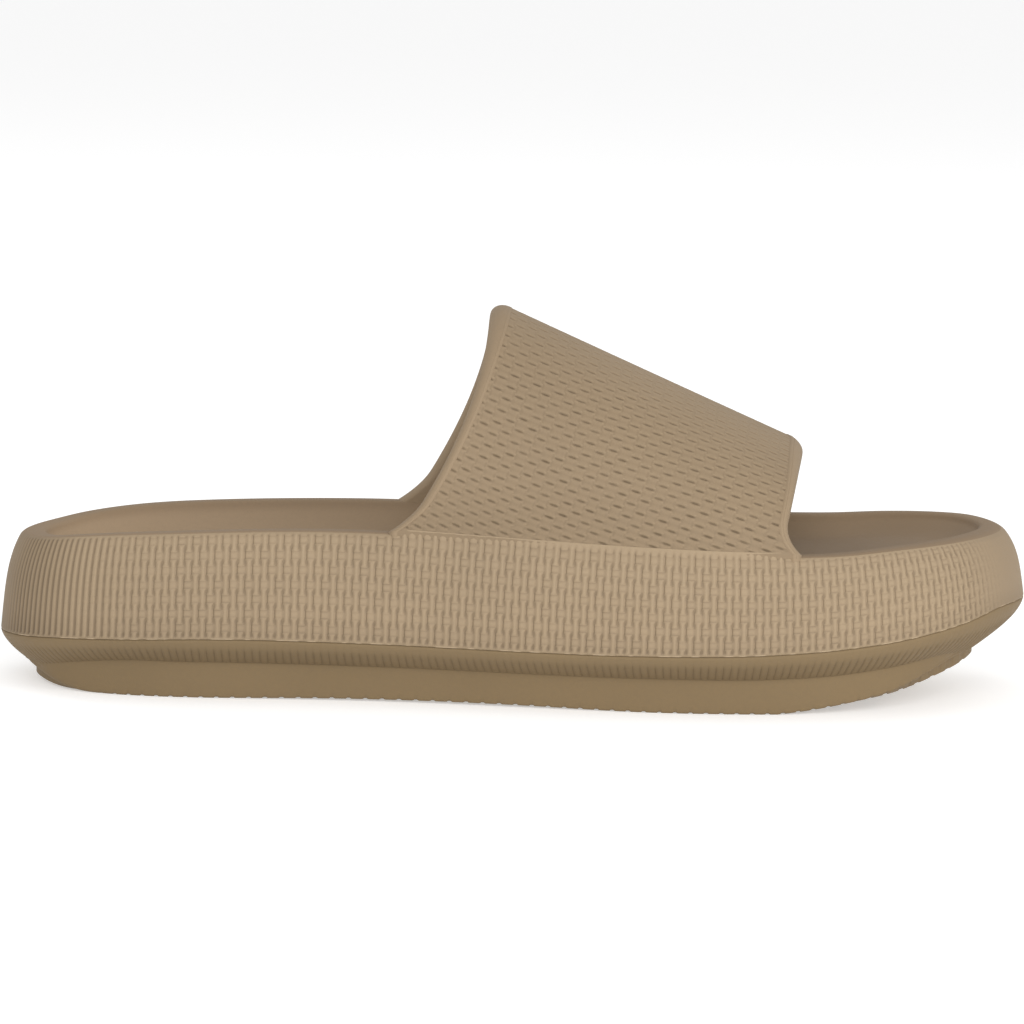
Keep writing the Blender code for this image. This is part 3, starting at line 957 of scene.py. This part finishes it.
    def wall_panel(self, side: Side) -> bpy.types.Object:
        """Make the woven panel of one side: wall, rim edge, and the fairing where the strap stands.

        Args:
            side: which side.

        Returns:
            The panel.
        """
        shape = self.shape
        distance, rib = self.weave.columns(*shape.side_span(side))
        ring = shape.ring(distance)
        x = ring[:, 0]
        rows = self.weave.rows()[:, None]
        top = self.weave.half_periods
        share = rows / top
        start_angle = shape.edge_start(x)
        wall_height = shape.wall_top(x) - shape.level(x, Level.LINE)
        turn = wall_height / (wall_height + shape.edge_radius(x) * (self.rib_top_angle - start_angle))
        on_edge = np.clip((share - turn) / (1 - turn), 0.0, 1.0)
        inset, height = self.wall_section(ring, np.minimum(share / turn, 1.0))
        edge_inset, edge_height = self.edge_section(ring, mix(start_angle, self.rib_top_angle, on_edge))
        fair_inset, fair_height = self.fairing_section(ring, on_edge, side)
        rear, front = self.strap.foot_span()
        under_strap = smoothstep(rear, rear + self.fairing_run, x)
        under_strap = under_strap * (1 - smoothstep(front - self.fairing_run, front, x))
        inset = np.where(on_edge > 0, mix(edge_inset, fair_inset, under_strap), inset)
        height = np.where(on_edge > 0, mix(edge_height, fair_height, under_strap), height)

        crest, tone = self.weave.relief(rib, rows, 1 - smoothstep(*self.cord_fade, x))
        reach = smoothstep(*self.tip_fade, x) * (1 - smoothstep(*self.toe_fade, x))
        reach = reach * smoothstep(*self.foot_fade, rows)
        reach = reach * (1 - smoothstep(top - self.top_fade[0], top - self.top_fade[1], rows))
        reach = reach * (1 - under_strap * smoothstep(*self.strap_fade, on_edge))
        inset = inset + self.weave.depth * (1 - crest) * reach
        tone = mix(PLAIN_TONE, tone, reach)
        tone = tone + self.top_light * smoothstep(*self.top_light_span, share)
        tone = tone - self.foot_shade * (1 - smoothstep(*self.foot_shade_span, share))
        tone = tone - self.heel_shade * (1 - smoothstep(*self.heel_shade_span, x))
        tone = tone - self.toe_end_shade * smoothstep(*self.toe_end_span, x)

        lips, lip_tones = self.flash_and_highlight(ring, distance)
        front_grid = np.concatenate([lips, place(ring, inset, height)]).transpose(1, 0, 2)
        tones = np.concatenate([lip_tones, tone]).T
        line = shape.level(x, Level.LINE) + self.line_gap
        back_low = place(ring, self.panel_back_inset, line + self.panel_back_rise)
        back_high = place(ring, inset[-1] + self.panel_depth, height[-1] - self.panel_depth)
        return panel(f"side_wall_{side.name.lower()}", front_grid, tones, back_low, back_high)

    def footbed_tone(self, points: Array) -> Array:
        """Tone below the rim: a painted light over the heel's footbed, and a painted shade towards the toe.

        Args:
            points: the points.

        Returns:
            Their tones.
        """
        x = points[..., 0]
        below = smoothstep(*self.below_rim, self.shape.level(x, Level.RIM) - points[..., 2])
        light = self.heel_light * (1 - smoothstep(*self.heel_light_span, x)) * below
        shade = self.toe_shade * smoothstep(*self.toe_shade_span, x) * mix(self.toe_rim_share, 1, below)
        return PLAIN_TONE + light - shade

    def footbed(self, ring: Array) -> Array:
        """The footbed between its side fillets, hollowed across and raised under the arch.

        The hollow goes with a power of 1 minus the square of the share from the middle. The arch's rise
        goes with the square of that share on the medial side, and with a power of 1 minus its fourth power.

        Args:
            ring: the inner end of the fillets.

        Returns:
            The footbed's points.
        """
        points = lid(ring, self.footbed_columns)
        along = self.shape.share(points[..., 0])
        across = np.linspace(-1, 1, self.footbed_columns + 1)[1:-1]
        hollow = self.shape.heel_hollow * table_curve(along, FOOTBED, 2)
        hollow = hollow * (1 - across ** 2) ** self.hollow_power * smoothstep(*self.hollow_start, along)
        arch = table_curve(along, FOOTBED, 3) * np.clip(across, 0, 1) ** 2
        arch = arch * (1 - across ** 4) ** self.hollow_power
        points[..., 2] = points[..., 2] - hollow + self.shape.arch_rise * arch
        return points

    def core(self) -> bpy.types.Object:
        """Make the underside, the hidden wall, the rim and the footbed in one closed mesh.

        Rings run from the underside up behind the panels, over the rim and down the footbed's side, whose
        fall is 1 minus the 2.6th power of the share left.

        Returns:
            The core.
        """
        shape = self.shape
        ring = shape.ring(np.linspace(0, shape.distances[-1], self.core_columns, endpoint=False))
        x = ring[:, 0]
        rim = shape.level(x, Level.RIM)
        foot_inset, foot_rise = self.core_foot
        line = shape.level(x, Level.LINE) + self.line_gap
        rings = [place(ring, foot_inset + self.core_depth, line + foot_rise)]
        for share in self.core_shares:
            inset, height = self.wall_section(ring, np.full_like(x, share))
            rings.append(place(ring, inset + self.core_depth, height))
        for part, sink in self.core_turn:
            angle = part * self.rib_top_angle
            inset, height = self.edge_section(ring, np.full_like(x, angle))
            rings.append(place(ring, inset + sink * math.cos(angle), height - sink * math.sin(angle)))
        for angle in np.linspace(self.rib_top_angle, math.pi / 2, self.rim_outer_steps):
            rings.append(place(ring, *self.edge_section(ring, np.full_like(x, angle))))
        lean = shape.lean(x)
        radius = shape.edge_radius(x)
        turned = shape.rim_inner_radius
        inner = lean + np.maximum(shape.rim_width, radius + turned)
        outer_end = lean + radius * np.cos(shape.edge_start(x))
        for share in self.rim_shares:
            rings.append(place(ring, mix(outer_end, inner - turned, share), rim))
        for angle in np.linspace(0, math.pi / 2, self.rim_inner_steps)[:-1]:
            drop = turned * (1 - math.cos(angle))
            rings.append(place(ring, inner - turned * (1 - math.sin(angle)), rim - drop))
        for share in self.side_shares:
            fall = 1 - (1 - share) ** shape.footbed_side_power
            height = rim - turned - (shape.footbed_depth(x) - turned) * fall
            rings.append(place(ring, inner + shape.footbed_side * share, height))
        surface = Surface()
        body = np.stack(rings)
        grid = surface.add(body, self.footbed_tone(body))
        surface.quads(grid, close_columns=True)
        footbed = self.footbed(rings[-1])
        surface.close(footbed, grid[-1], self.footbed_tone(footbed))
        surface.close(lid(rings[0], 2), grid[0])
        return surface.build("rim_and_footbed", sharp=60.0)


@dataclass
class Strap:
    """The strap: a smooth body with rounded borders, and a woven panel over each half of it."""

    shape: SoleShape
    weave: StrapWeave = StrapWeave()
    wall: float = 0.0066
    side_edge: float = 0.0020
    crest_edge: float = 0.0042
    edge_power: float = 4.0
    crest_rear: float = -0.0075
    crest_length: float = 0.0867
    height_rear: float = 0.1060
    height_front: float = 0.0675
    rear_spread: float = 0.0222
    front_draw: float = 0.0069
    skew: float = 0.0040
    foot_inset: float = 0.0058
    sink: float = 0.0060
    fillet: float = 0.0085
    rear_flare: float = 0.0039
    front_flare: float = 0.0058
    arch_power: float = 2.45
    rear_power: float = 1.77
    front_power: float = 0.54
    arch_steps: int = 4000
    along_step: float = 0.005
    share_step: float = 0.002
    distance_columns: int = 160
    distance_rounds: int = 5
    foot_reach: tuple[float, float, int] = (-0.05, 1.05, 120)
    body_columns: int = 300
    body_dip: float = 0.0008
    body_margin: float = 0.006
    outer_loops: int = 8
    inner_loops: int = 14
    edge_loops: int = 17
    panel_rows: int = 330
    panel_columns: int = 200
    panel_margins: Span = (0.95, 0.90)
    panel_back: float = 0.0016
    panel_sink: float = 0.0012
    border_raise: float = 0.00018
    border_span: Span = (0.0, 0.0006)
    panel_lift: float = 0.00003
    weave_border: Span = (0.0001, 0.0007)
    weave_foot: Span = (0.0004, 0.0012)
    calm_span: Span = (0.004, 0.028)
    crest_reach: float = 0.75
    crest_span: Span = (0.004, 0.030)
    crest_light: float = 0.04
    crest_light_span: Span = (0.002, 0.034)
    foot_shade: float = 0.06
    foot_shade_span: Span = (0.0, 0.022)

    def section(self, share: Array) -> ArrayPair:
        """Read the arch, a superellipse: each coordinate is a cosine or sine to the power 2 over 2.45.

        Args:
            share: shares of the arch's length.

        Returns:
            Side share, -1 to 1, and rise share.
        """
        angle = np.linspace(0, math.pi, self.arch_steps + 1)
        power = 2 / self.arch_power
        side = -np.sign(np.cos(angle)) * np.abs(np.cos(angle)) ** power
        rise = np.abs(np.sin(angle)) ** power
        steps = np.hypot(np.diff(side) * self.shape.ball_half_width, np.diff(rise) * self.height_rear / 2)
        length = np.concatenate([[0], np.cumsum(steps)])
        place_on = share * length[-1]
        return np.interp(place_on, length, side), np.interp(place_on, length, rise)

    def edge_length(self, share: Array) -> Array:
        """Length of the rounding of the strap's borders: short at its sides, longer over the crest."""
        return mix(self.side_edge, self.crest_edge, self.section(share)[1] ** self.edge_power)

    def edges(self, rise: Array, height: Array) -> ArrayPair:
        """Read the strap's two edges.

        Args:
            rise: rise shares.
            height: heights above the rim.

        Returns:
            X of the rear and front edges.
        """
        low = np.clip(1 - height / self.fillet, 0, None) ** 2
        rear = self.crest_rear - self.rear_spread * (1 - rise) ** self.rear_power - self.rear_flare * low
        front = self.crest_rear + self.crest_length - self.front_draw * (1 - rise) ** self.front_power
        return rear, front + self.front_flare * low

    def foot_span(self) -> Span:
        """X of the rear and front edges at the rim."""
        rear, front = self.edges(np.zeros(1), np.zeros(1))
        return float(rear[0]), float(front[0])

    def foot_y(self, x: Array, side: Side, height: float) -> Array:
        """Read the outer face near the rim.

        Args:
            x: places along the shoe.
            side: which side.
            height: height above the rim.

        Returns:
            Y of the face at each place.
        """
        along = np.linspace(*self.foot_reach)
        rise = height / (mix(self.height_rear, self.height_front, along) - self.shape.rim_height)
        across = side.value * (1 - rise ** self.arch_power) ** (1 / self.arch_power)
        middle = self.middle(across, rise, along)
        return np.interp(x, middle[:, 0], middle[:, 1] + side.value * self.wall / 2)

    def line_distance(self, share: Array, x: Array) -> Array:
        """Distance from the crest round the outer face, measured square across the shoe.

        For each row of the panel, points are found at the same x by a few rounds of solving for the place
        along the strap, and the steps between rows, in y and z, are summed up to the crest.

        Args:
            share: the rows' places on the arch, from the rim to the crest.
            x: the points' x, of shape (rows, columns).

        Returns:
            The distance of each point.
        """
        stations = np.linspace(x.min(), x.max(), self.distance_columns)
        side, rise = (part[:, None] for part in self.section(share))
        along = np.broadcast_to((stations - self.crest_rear) / self.crest_length, (len(share), len(stations)))
        for _ in range(self.distance_rounds):
            crest = mix(self.height_rear, self.height_front, along) - self.wall / 2
            rear, front = self.edges(rise, (crest - self.shape.level(stations, Level.RIM)) * rise)
            along = (stations - rear) / (front - rear)
        points = self.middle(side, rise, along)
        steps = np.hypot(np.diff(points[..., 1], axis=0), np.diff(points[..., 2], axis=0))
        climbed = np.concatenate([np.zeros((1, len(stations))), np.cumsum(steps, axis=0)])
        return np.stack([np.interp(row_x, stations, row) for row_x, row in zip(x, climbed[-1:] - climbed)])

    def middle(self, side: Array, rise: Array, along: Array) -> Array:
        """Middle of the strap's wall.

        Args:
            side: side shares of the arch.
            rise: rise shares of the arch.
            along: places from 0, rear, to 1, front.

        Returns:
            The points.
        """
        half = self.wall / 2
        foot_rear, foot_front = self.edges(np.zeros(1), np.full(1, self.fillet))
        foot_x = mix(foot_rear, foot_front, along)
        lateral = self.shape.outline_y(foot_x, Side.LATERAL) + self.foot_inset + half
        medial = self.shape.outline_y(foot_x, Side.MEDIAL) - self.foot_inset - half
        base = self.shape.level(foot_x, Level.RIM)
        height = (mix(self.height_rear, self.height_front, along) - half - base) * rise
        x = mix(*self.edges(rise, height), along)
        y = (lateral + medial) / 2 + self.skew * rise + (medial - lateral) / 2 * side
        return np.stack([x, y, base + height], axis=-1)

    def frame_at(self, share: Array, along: Array) -> tuple[Array, Array, Array]:
        """Read the middle surface with its directions.

        The normal is the cross product of central differences along and round the strap.

        Args:
            share: shares of the arch's length.
            along: places from 0, rear, to 1, front.

        Returns:
            The points, their outward normals and their directions to the front.
        """
        share, along = np.broadcast_arrays(share, along)
        at_share = self.section(share)
        step = self.along_step
        fore = self.middle(*at_share, along + step) - self.middle(*at_share, along - step)
        ahead = self.middle(*self.section(np.clip(share + self.share_step, 0, 1)), along)
        behind = self.middle(*self.section(np.clip(share - self.share_step, 0, 1)), along)
        normal = np.cross(fore, ahead - behind)
        normal /= np.linalg.norm(normal, axis=-1, keepdims=True)
        return self.middle(*at_share, along), normal, fore / np.linalg.norm(fore, axis=-1, keepdims=True)

    def face_loop(self, share: Array, along: Array | float, off: float) -> list[Array]:
        """A loop of points beside the middle surface, at a distance along its normal."""
        here, normal, _ = self.frame_at(share, along)
        return [here + normal * off]

    def edge_turn(self, share: Array, along: Array, edge: Array, way: int) -> list[Array]:
        """Loops round a border, a half ellipse as long as the edge and half the wall thick.

        Args:
            share: shares of the arch's length.
            along: places where the rounding starts.
            edge: its length at each share.
            way: 1 at the front, -1 at the rear.

        Returns:
            The loops.
        """
        here, normal, fore = self.frame_at(share, along)
        loops = []
        for angle in np.linspace(0, math.pi, self.edge_loops + 2)[1:-1]:
            across = normal * (self.wall / 2) * math.cos(angle)
            loops.append(here + way * (across + fore * edge[:, None] * math.sin(angle)))
        return loops

    def body(self) -> bpy.types.Object:
        """Make the strap's body: loops of a rounded section carried over the arch, its feet sunk in the rim.

        Each loop is two long sides and two half ellipses. The outer side dips under the woven panel.

        Returns:
            The body.
        """
        share = np.linspace(0, 1, self.body_columns + 1)
        edge = self.edge_length(share)
        trim = edge / self.crest_length
        half = self.wall / 2
        margin = self.body_margin
        dipped = np.linspace(trim + 2 * margin, 1 - trim - 2 * margin, self.outer_loops)
        outside = [(trim, half), (trim + margin, half)]
        outside += [(along, half - self.body_dip) for along in dipped]
        outside += [(1 - trim - margin, half), (1 - trim, half)]
        loops = []
        for along, off in outside:
            loops += self.face_loop(share, along, off)
        loops += self.edge_turn(share, 1 - trim, edge, 1)
        for along in np.linspace(1 - trim, trim, self.inner_loops):
            loops += self.face_loop(share, along, -half)
        loops += self.edge_turn(share, trim, edge, -1)
        rows = np.stack(loops, axis=1)
        sink = np.array([0, 0, self.sink])
        rows = np.concatenate([rows[:1] - sink, rows, rows[-1:] - sink])
        surface = Surface()
        grid = surface.add(rows)
        surface.quads(grid, close_columns=True)
        surface.fan(grid[0])
        surface.fan(grid[-1, ::-1])
        return surface.build("strap_body", sharp=60.0)

    def weave_panel(self, side: Side) -> bpy.types.Object:
        """Make the woven panel over one half of the strap, from the rim to the crest.

        Lines keep their distance from the crest, so they run parallel to the slope and are cut off by the
        foot. The relief is strongest on the side and soft near the crest.

        Args:
            side: which half.

        Returns:
            The panel.
        """
        weave = self.weave
        half_share = np.linspace(0, 0.5, self.panel_rows + 1)
        share = half_share if side is Side.LATERAL else 1 - half_share
        trim = self.edge_length(share)[:, None] / self.crest_length
        start = trim * self.panel_margins[0]
        end = 1 - trim * self.panel_margins[1]
        along = mix(start, end, np.linspace(0, 1, self.panel_columns + 1))
        here, normal, _ = self.frame_at(share[:, None], along)
        outer = here + normal * (self.wall / 2)
        steps = np.linalg.norm(np.diff(outer, axis=0), axis=-1)
        climbed = np.concatenate([np.zeros((1, along.shape[1])), np.cumsum(steps, axis=0)])
        x = outer[..., 0]
        around = self.line_distance(share, x) - weave.drift * (x - x * x / (2 * weave.drift_end))
        run = x * math.cos(weave.slope) - outer[..., 2] * math.sin(weave.slope)
        calm = 1 - smoothstep(*self.calm_span, around)
        depth, tone = weave.relief(around + weave.line_pitch / 2, run, calm)
        border = np.minimum(along - start, end - along) * self.crest_length
        reach = smoothstep(*self.weave_border, border) * smoothstep(*self.weave_foot, climbed)
        reach = reach * mix(self.crest_reach, 1, smoothstep(*self.crest_span, around))
        tone = mix(PLAIN_TONE, tone, reach)
        tone = tone + self.crest_light * (1 - smoothstep(*self.crest_light_span, around))
        tone = np.clip(tone - self.foot_shade * (1 - smoothstep(*self.foot_shade_span, climbed)), 0, 1)
        level = self.border_raise * smoothstep(*self.border_span, border) - self.panel_lift
        front = outer - normal * (depth * reach + level)[..., None]
        back = outer - normal * self.panel_back
        front[0, :, 2] -= self.panel_sink
        back[0, :, 2] -= self.panel_sink
        return panel(f"strap_weave_{side.name.lower()}", front, tone, back[:, 0], back[:, -1])


@dataclass
class Outsole:
    """The outsole: notched tread, smooth band, and ribs on the undercut up to the line."""

    shape: SoleShape
    weave: WallWeave = WallWeave()
    band_inset: float = 0.0082
    band_step: float = 0.0007
    tread_inset: float = 0.0098
    tip_outset: float = 0.0029
    tip_band_outset: float = 0.0017
    tread_edge: float = 0.0010
    least_band: float = 1.5
    most_edge: float = 1.3
    toe_tuck: float = 0.0040
    toe_tuck_start: float = 0.104
    toe_tuck_end: float = 0.127
    band_tuck_share: float = 0.35
    tuck_power: float = 3.0
    tip_round_in: float = 0.0018
    tip_round_up: float = 0.0024
    edge_steps: int = 7
    band_shares: tuple[float, ...] = (0.12, 0.3, 0.5, 0.7, 0.88, 1.0)
    band_overlap: float = 1.15
    undercut_power: float = 1.6
    undercut_shares: tuple[float, ...] = (
        0.0, 0.04, 0.1, 0.18, 0.26, 0.34, 0.42, 0.5, 0.58, 0.66, 0.76, 0.86, 0.95,
    )
    rib_depth: float = 0.00036
    rib_groove_shade: float = 0.13
    rib_shade: float = 0.045
    rib_end: Span = (0.46, 0.72)
    rib_left: float = 0.08
    heel_rib_share: float = 0.35
    heel_rib_span: Span = (-0.139, -0.130)
    strip_light: float = 0.02
    line_gap: float = 0.00004
    line_edge: Span = (0.00014, 0.0002)
    line_inset: float = 0.0004
    line_tone: float = 0.48
    groove_edge: float = 0.0002
    fine_pitch: float = 0.0044
    fine_width: float = 0.0011
    fine_depth: float = 0.00034
    fine_start: Span = (-0.118, -0.105)
    toe_fine_loss: float = 0.45
    notch_loss: float = 0.75
    notch_inset: float = 0.5
    notch_shade: float = 0.15
    notch_shade_loss: float = 0.8
    main_width: float = 0.0020
    main_depth: float = 0.0012
    main_margin: float = 0.0050
    main_margin_edge: float = 0.0008
    main_end: float = 0.1080
    main_toe_end: float = 0.1020
    main_end_edge: float = 0.002
    main_shade: float = 0.25
    tread_columns: int = 24

    def groove(self, x: Array, pitch: float, width: float) -> Array:
        """1 in the grooves square across the shoe, 0 between them, with soft sides."""
        off = np.abs(x - np.round(x / pitch) * pitch)
        return 1 - smoothstep(width / 2 - self.groove_edge, width / 2 + self.groove_edge, off)

    def fine_groove(self, x: Array) -> Array:
        """1 in the tread's fine grooves, fading at the heel and softer at the toe."""
        fine = self.groove(x, self.fine_pitch, self.fine_width) * smoothstep(*self.fine_start, x)
        return fine * (1 - self.toe_fine_loss * self.shape.toe_share(x))

    def tucked(self, x: Array) -> Array:
        """How far the toe's underside is drawn in."""
        return self.toe_tuck * smoothstep(self.toe_tuck_start, self.toe_tuck_end, x)

    def main_groove(self, points: Array) -> Array:
        """The tread's main grooves, kept clear of its edge and its ends.

        Args:
            points: points of the underside.

        Returns:
            1 in the grooves, 0 between them.
        """
        x = points[..., 0]
        lateral = points[..., 1] - self.shape.outline_y(x, Side.LATERAL)
        medial = self.shape.outline_y(x, Side.MEDIAL) - points[..., 1]
        room = np.minimum(lateral, medial) - self.tread_inset - self.main_margin - self.tucked(x)
        inside = smoothstep(0, self.main_margin_edge, room)
        inside = inside * smoothstep(self.main_end, self.main_end - self.main_end_edge, np.abs(x))
        inside = inside * (1 - smoothstep(self.main_toe_end - self.main_end_edge, self.main_toe_end, x))
        return self.groove(x, 2 * self.fine_pitch, self.main_width) * inside

    def rib_columns(self) -> ArrayPair:
        """Places round the outline, shared with the ribs of the wall.

        Returns:
            An even number of distances, and the rib coordinate of each.
        """
        spans = [self.weave.columns(*self.shape.side_span(side)) for side in Side]
        distance, rib = (np.concatenate([part[:-1] for part in parts]) for parts in zip(*spans))
        even = len(distance) // 2 * 2
        return distance[:even], rib[:even]

    def build(self) -> bpy.types.Object:
        """Make the outsole in one closed mesh.

        The undercut's inset is the band's inset times the 1.6th power of the height share left. Its ribs
        are half circles on the wall's own rib places, deepest at their foot.

        Returns:
            The outsole.
        """
        shape = self.shape
        distance, rib = self.rib_columns()
        ring = shape.ring(distance)
        x = ring[:, 0]
        tread = shape.level(x, Level.TREAD)
        band = np.maximum(shape.level(x, Level.BAND), tread + self.least_band * self.tread_edge)
        line = shape.level(x, Level.LINE) - self.line_gap
        tip = shape.tip_share(x)
        tuck = self.tucked(x)
        band_tuck = self.band_tuck_share * tuck
        tread_inset = self.tread_inset - self.tip_outset * tip + tuck
        band_inset = self.band_inset - self.tip_band_outset * tip + band_tuck
        upper_inset = tread_inset - (tread_inset - band_inset - self.band_step) * tip ** 0.5
        edge_in = tread_inset + self.tread_edge + self.tip_round_in * tip - upper_inset
        edge_up = np.minimum(self.tread_edge + self.tip_round_up * tip, (band - tread) / self.most_edge)
        notch = self.fine_groove(x)
        rows = []
        tones = []
        for angle in np.linspace(0, math.pi / 2, self.edge_steps):
            inset = upper_inset + edge_in * (1 - math.sin(angle))
            cut = self.fine_depth * (1 - self.notch_loss * math.sin(angle)) * notch
            height = tread + edge_up * (1 - math.cos(angle)) + cut
            rows.append(place(ring, inset + self.notch_inset * cut, height))
            shade = self.notch_shade * notch * (1 - self.notch_shade_loss * math.sin(angle))
            tones.append(PLAIN_TONE - shade)
        for share in self.band_shares:
            inset = mix(upper_inset, band_inset + self.band_step * (1 - tip), share)
            rise = edge_up + (band - tread - self.band_overlap * edge_up) * share
            rows.append(place(ring, inset, tread + rise))
            tones.append(np.full_like(x, PLAIN_TONE))
        off = np.abs(rib - np.floor(rib) - 0.5)
        groove = 1 - np.sqrt(np.clip(1 - (2 * off) ** 2, 0, 1))
        fade = mix(self.heel_rib_share, 1, smoothstep(*self.heel_rib_span, x))
        for share in self.undercut_shares:
            inset = (band_inset - band_tuck) * (1 - share) ** self.undercut_power
            inset = inset + band_tuck * (1 - share) ** self.tuck_power
            above = smoothstep(*self.rib_end, np.full_like(x, share))
            strength = mix(1, self.rib_left, above) * fade
            rows.append(place(ring, inset + self.rib_depth * groove * strength, mix(band, line, share)))
            # Painted shade in the rib grooves and low in the undercut, under the overhang; painted light on
            # the smooth strip above the ribs; a slight painted shade at the parting line.
            tone = PLAIN_TONE - self.rib_groove_shade * groove * strength
            tones.append(tone - self.rib_shade * (1 - above) + self.strip_light * above)
        rows.append(place(ring, self.line_edge[0], line - self.line_edge[1]))
        tones.append(np.full_like(x, PLAIN_TONE + self.strip_light))
        rows.append(place(ring, self.line_inset, line))
        tones.append(np.full_like(x, self.line_tone))
        surface = Surface()
        grid = surface.add(np.stack(rows), np.stack(tones))
        surface.quads(grid, close_columns=True)

        under = lid(rows[0], self.tread_columns)
        fine = self.fine_groove(under[..., 0]) * self.fine_depth
        deep = np.maximum(fine, self.main_groove(under) * self.main_depth)
        under[..., 2] = shape.level(under[..., 0], Level.TREAD) + deep
        surface.close(under, grid[0], PLAIN_TONE - self.main_shade * deep / self.main_depth)
        surface.close(lid(rows[-1], 2), grid[-1])
        return surface.build("outsole_ribbed")


@dataclass(frozen=True)
class PhotoCamera:
    """The camera of the photograph, fitted to the shoe."""

    distance: float = 1.5
    elevation: float = math.radians(7.3)
    yaw: float = math.radians(-0.8)
    roll: float = math.radians(0.88)
    target: Triple = (-0.0006, 0.0, 0.0479)
    focal_pixels: float = 5464.5
    image_size: int = 1024
    centre_x: float = 511.5
    sensor: float = 36.0
    clip_end: float = 100.0

    def build(self) -> None:
        """Make the camera and set it as the scene's."""
        data = bpy.data.cameras.new("photo_camera")
        data.sensor_width = self.sensor
        data.lens = self.focal_pixels / self.image_size * self.sensor
        data.shift_x = (self.image_size / 2 - self.centre_x) / self.image_size
        data.clip_end = self.clip_end
        level = math.cos(self.elevation)
        forward = Vector((math.sin(self.yaw) * level, math.cos(self.yaw) * level, -math.sin(self.elevation)))
        right = forward.cross(Vector((0, 0, 1))).normalized()
        up = right.cross(forward)
        turned_right = right * math.cos(self.roll) + up * math.sin(self.roll)
        turned_up = up * math.cos(self.roll) - right * math.sin(self.roll)
        camera = bpy.data.objects.new("photo_camera", data)
        axes = Matrix((turned_right, turned_up, -forward)).transposed()
        stand = Vector(self.target) - forward * self.distance
        camera.matrix_world = Matrix.Translation(stand) @ axes.to_4x4()
        bpy.context.scene.collection.objects.link(camera)
        bpy.context.scene.camera = camera


@dataclass(frozen=True)
class SoftLight:
    """A large soft lamp that faces a point over the shoe."""

    name: str
    position: Triple
    power: float
    size: float = 0.9
    target: Triple = (0.0, 0.0, 0.04)

    def build(self) -> None:
        """Make the lamp."""
        data = bpy.data.lights.new(self.name, "AREA")
        data.shape = "SQUARE"
        data.size = self.size
        data.energy = self.power
        lamp = bpy.data.objects.new(self.name, data)
        lamp.location = self.position
        aim = Vector(self.target) - Vector(self.position)
        lamp.rotation_euler = aim.to_track_quat("-Z", "Y").to_euler()
        bpy.context.scene.collection.objects.link(lamp)


@dataclass(frozen=True)
class Studio:
    """A pale floor, soft lamps and an even pale surround."""

    floor_half: float = 20.0
    floor_colour: Triple = (0.80, 0.80, 0.80)
    floor_roughness: float = 0.9
    floor_specular: float = 0.1
    floor_glow: float = 0.42
    surround: float = 0.64
    lamps: tuple[SoftLight, ...] = (
        SoftLight("front_light", (0.0, -1.8, 0.85), 15.0),
        SoftLight("toe_light", (1.6, -1.2, 0.8), 12.6),
        SoftLight("back_toe_light", (1.2, 1.2, 1.5), 3.0),
        SoftLight("back_heel_light", (-1.2, 1.2, 1.5), 4.2),
    )

    def build(self) -> None:
        """Make the floor, the lamps and the surround."""
        mesh = bpy.data.meshes.new("floor")
        half = self.floor_half
        corners = [(-half, -half, 0), (half, -half, 0), (half, half, 0), (-half, half, 0)]
        mesh.from_pydata(corners, [], [(0, 1, 2, 3)])
        floor = bpy.data.objects.new("floor", mesh)
        bpy.context.scene.collection.objects.link(floor)
        material = bpy.data.materials.new("pale_floor")
        material.use_nodes = True
        shader = material.node_tree.nodes["Principled BSDF"]
        shader.inputs["Base Color"].default_value = (*self.floor_colour, 1)
        shader.inputs["Roughness"].default_value = self.floor_roughness
        shader.inputs["Specular IOR Level"].default_value = self.floor_specular
        shader.inputs["Emission Color"].default_value = (1, 1, 1, 1)
        shader.inputs["Emission Strength"].default_value = self.floor_glow
        mesh.materials.append(material)
        for lamp in self.lamps:
            lamp.build()
        world = bpy.data.worlds.new("pale_surround")
        world.use_nodes = True
        background = world.node_tree.nodes["Background"]
        background.inputs["Color"].default_value = (1, 1, 1, 1)
        background.inputs["Strength"].default_value = self.surround
        bpy.context.scene.world = world
        bpy.context.scene.view_settings.view_transform = "Standard"


# One foam in lit and shaded copies: each copy's name, then its plain, painted shade and painted highlight
# colours.
# The plain colours are painted light and shade: the wall lightest, the strap's border and weave darker, the
# footbed darker still, and the outsole, which faces down, darkest.
WALL_FOAM = FoamFinish("wall_foam", (0.320, 0.236, 0.147), (0.125, 0.087, 0.050), (0.50, 0.385, 0.26))
WEAVE_FOAM = FoamFinish("strap_weave_foam", (0.272, 0.197, 0.120), (0.09, 0.061, 0.033), (0.47, 0.36, 0.24))
BORDER_FOAM = FoamFinish("border_foam", (0.292, 0.212, 0.131), (0.115, 0.079, 0.045), (0.46, 0.35, 0.24))
FOOTBED_FOAM = FoamFinish("footbed_foam", (0.262, 0.184, 0.111), (0.110, 0.073, 0.040), (0.46, 0.34, 0.22))
OUTSOLE_FOAM = FoamFinish("outsole_foam", (0.195, 0.135, 0.068), (0.078, 0.052, 0.026), (0.35, 0.26, 0.16))


def main() -> None:
    """Build the shoe's pieces, dress them, and set up the studio."""
    logging.basicConfig(level=logging.INFO, format="%(message)s")
    PhotoCamera().build()
    Studio().build()
    shape = SoleShape()
    strap = Strap(shape)
    body = UpperBody(shape, strap)
    outsole = Outsole(shape)
    wall = WALL_FOAM.material()
    woven = WEAVE_FOAM.material()

    dress(body.core(), FOOTBED_FOAM.material(), "body_foam", "upper_body")
    for side in Side:
        dress(body.wall_panel(side), wall, "body_foam", "upper_body")
        dress(strap.weave_panel(side), woven, "body_foam", "upper_body")
    dress(strap.body(), BORDER_FOAM.material(), "body_foam", "upper_body")
    dress(outsole.build(), OUTSOLE_FOAM.material(), "outsole_foam", "outsole")


if __name__ == "__main__":
    main()
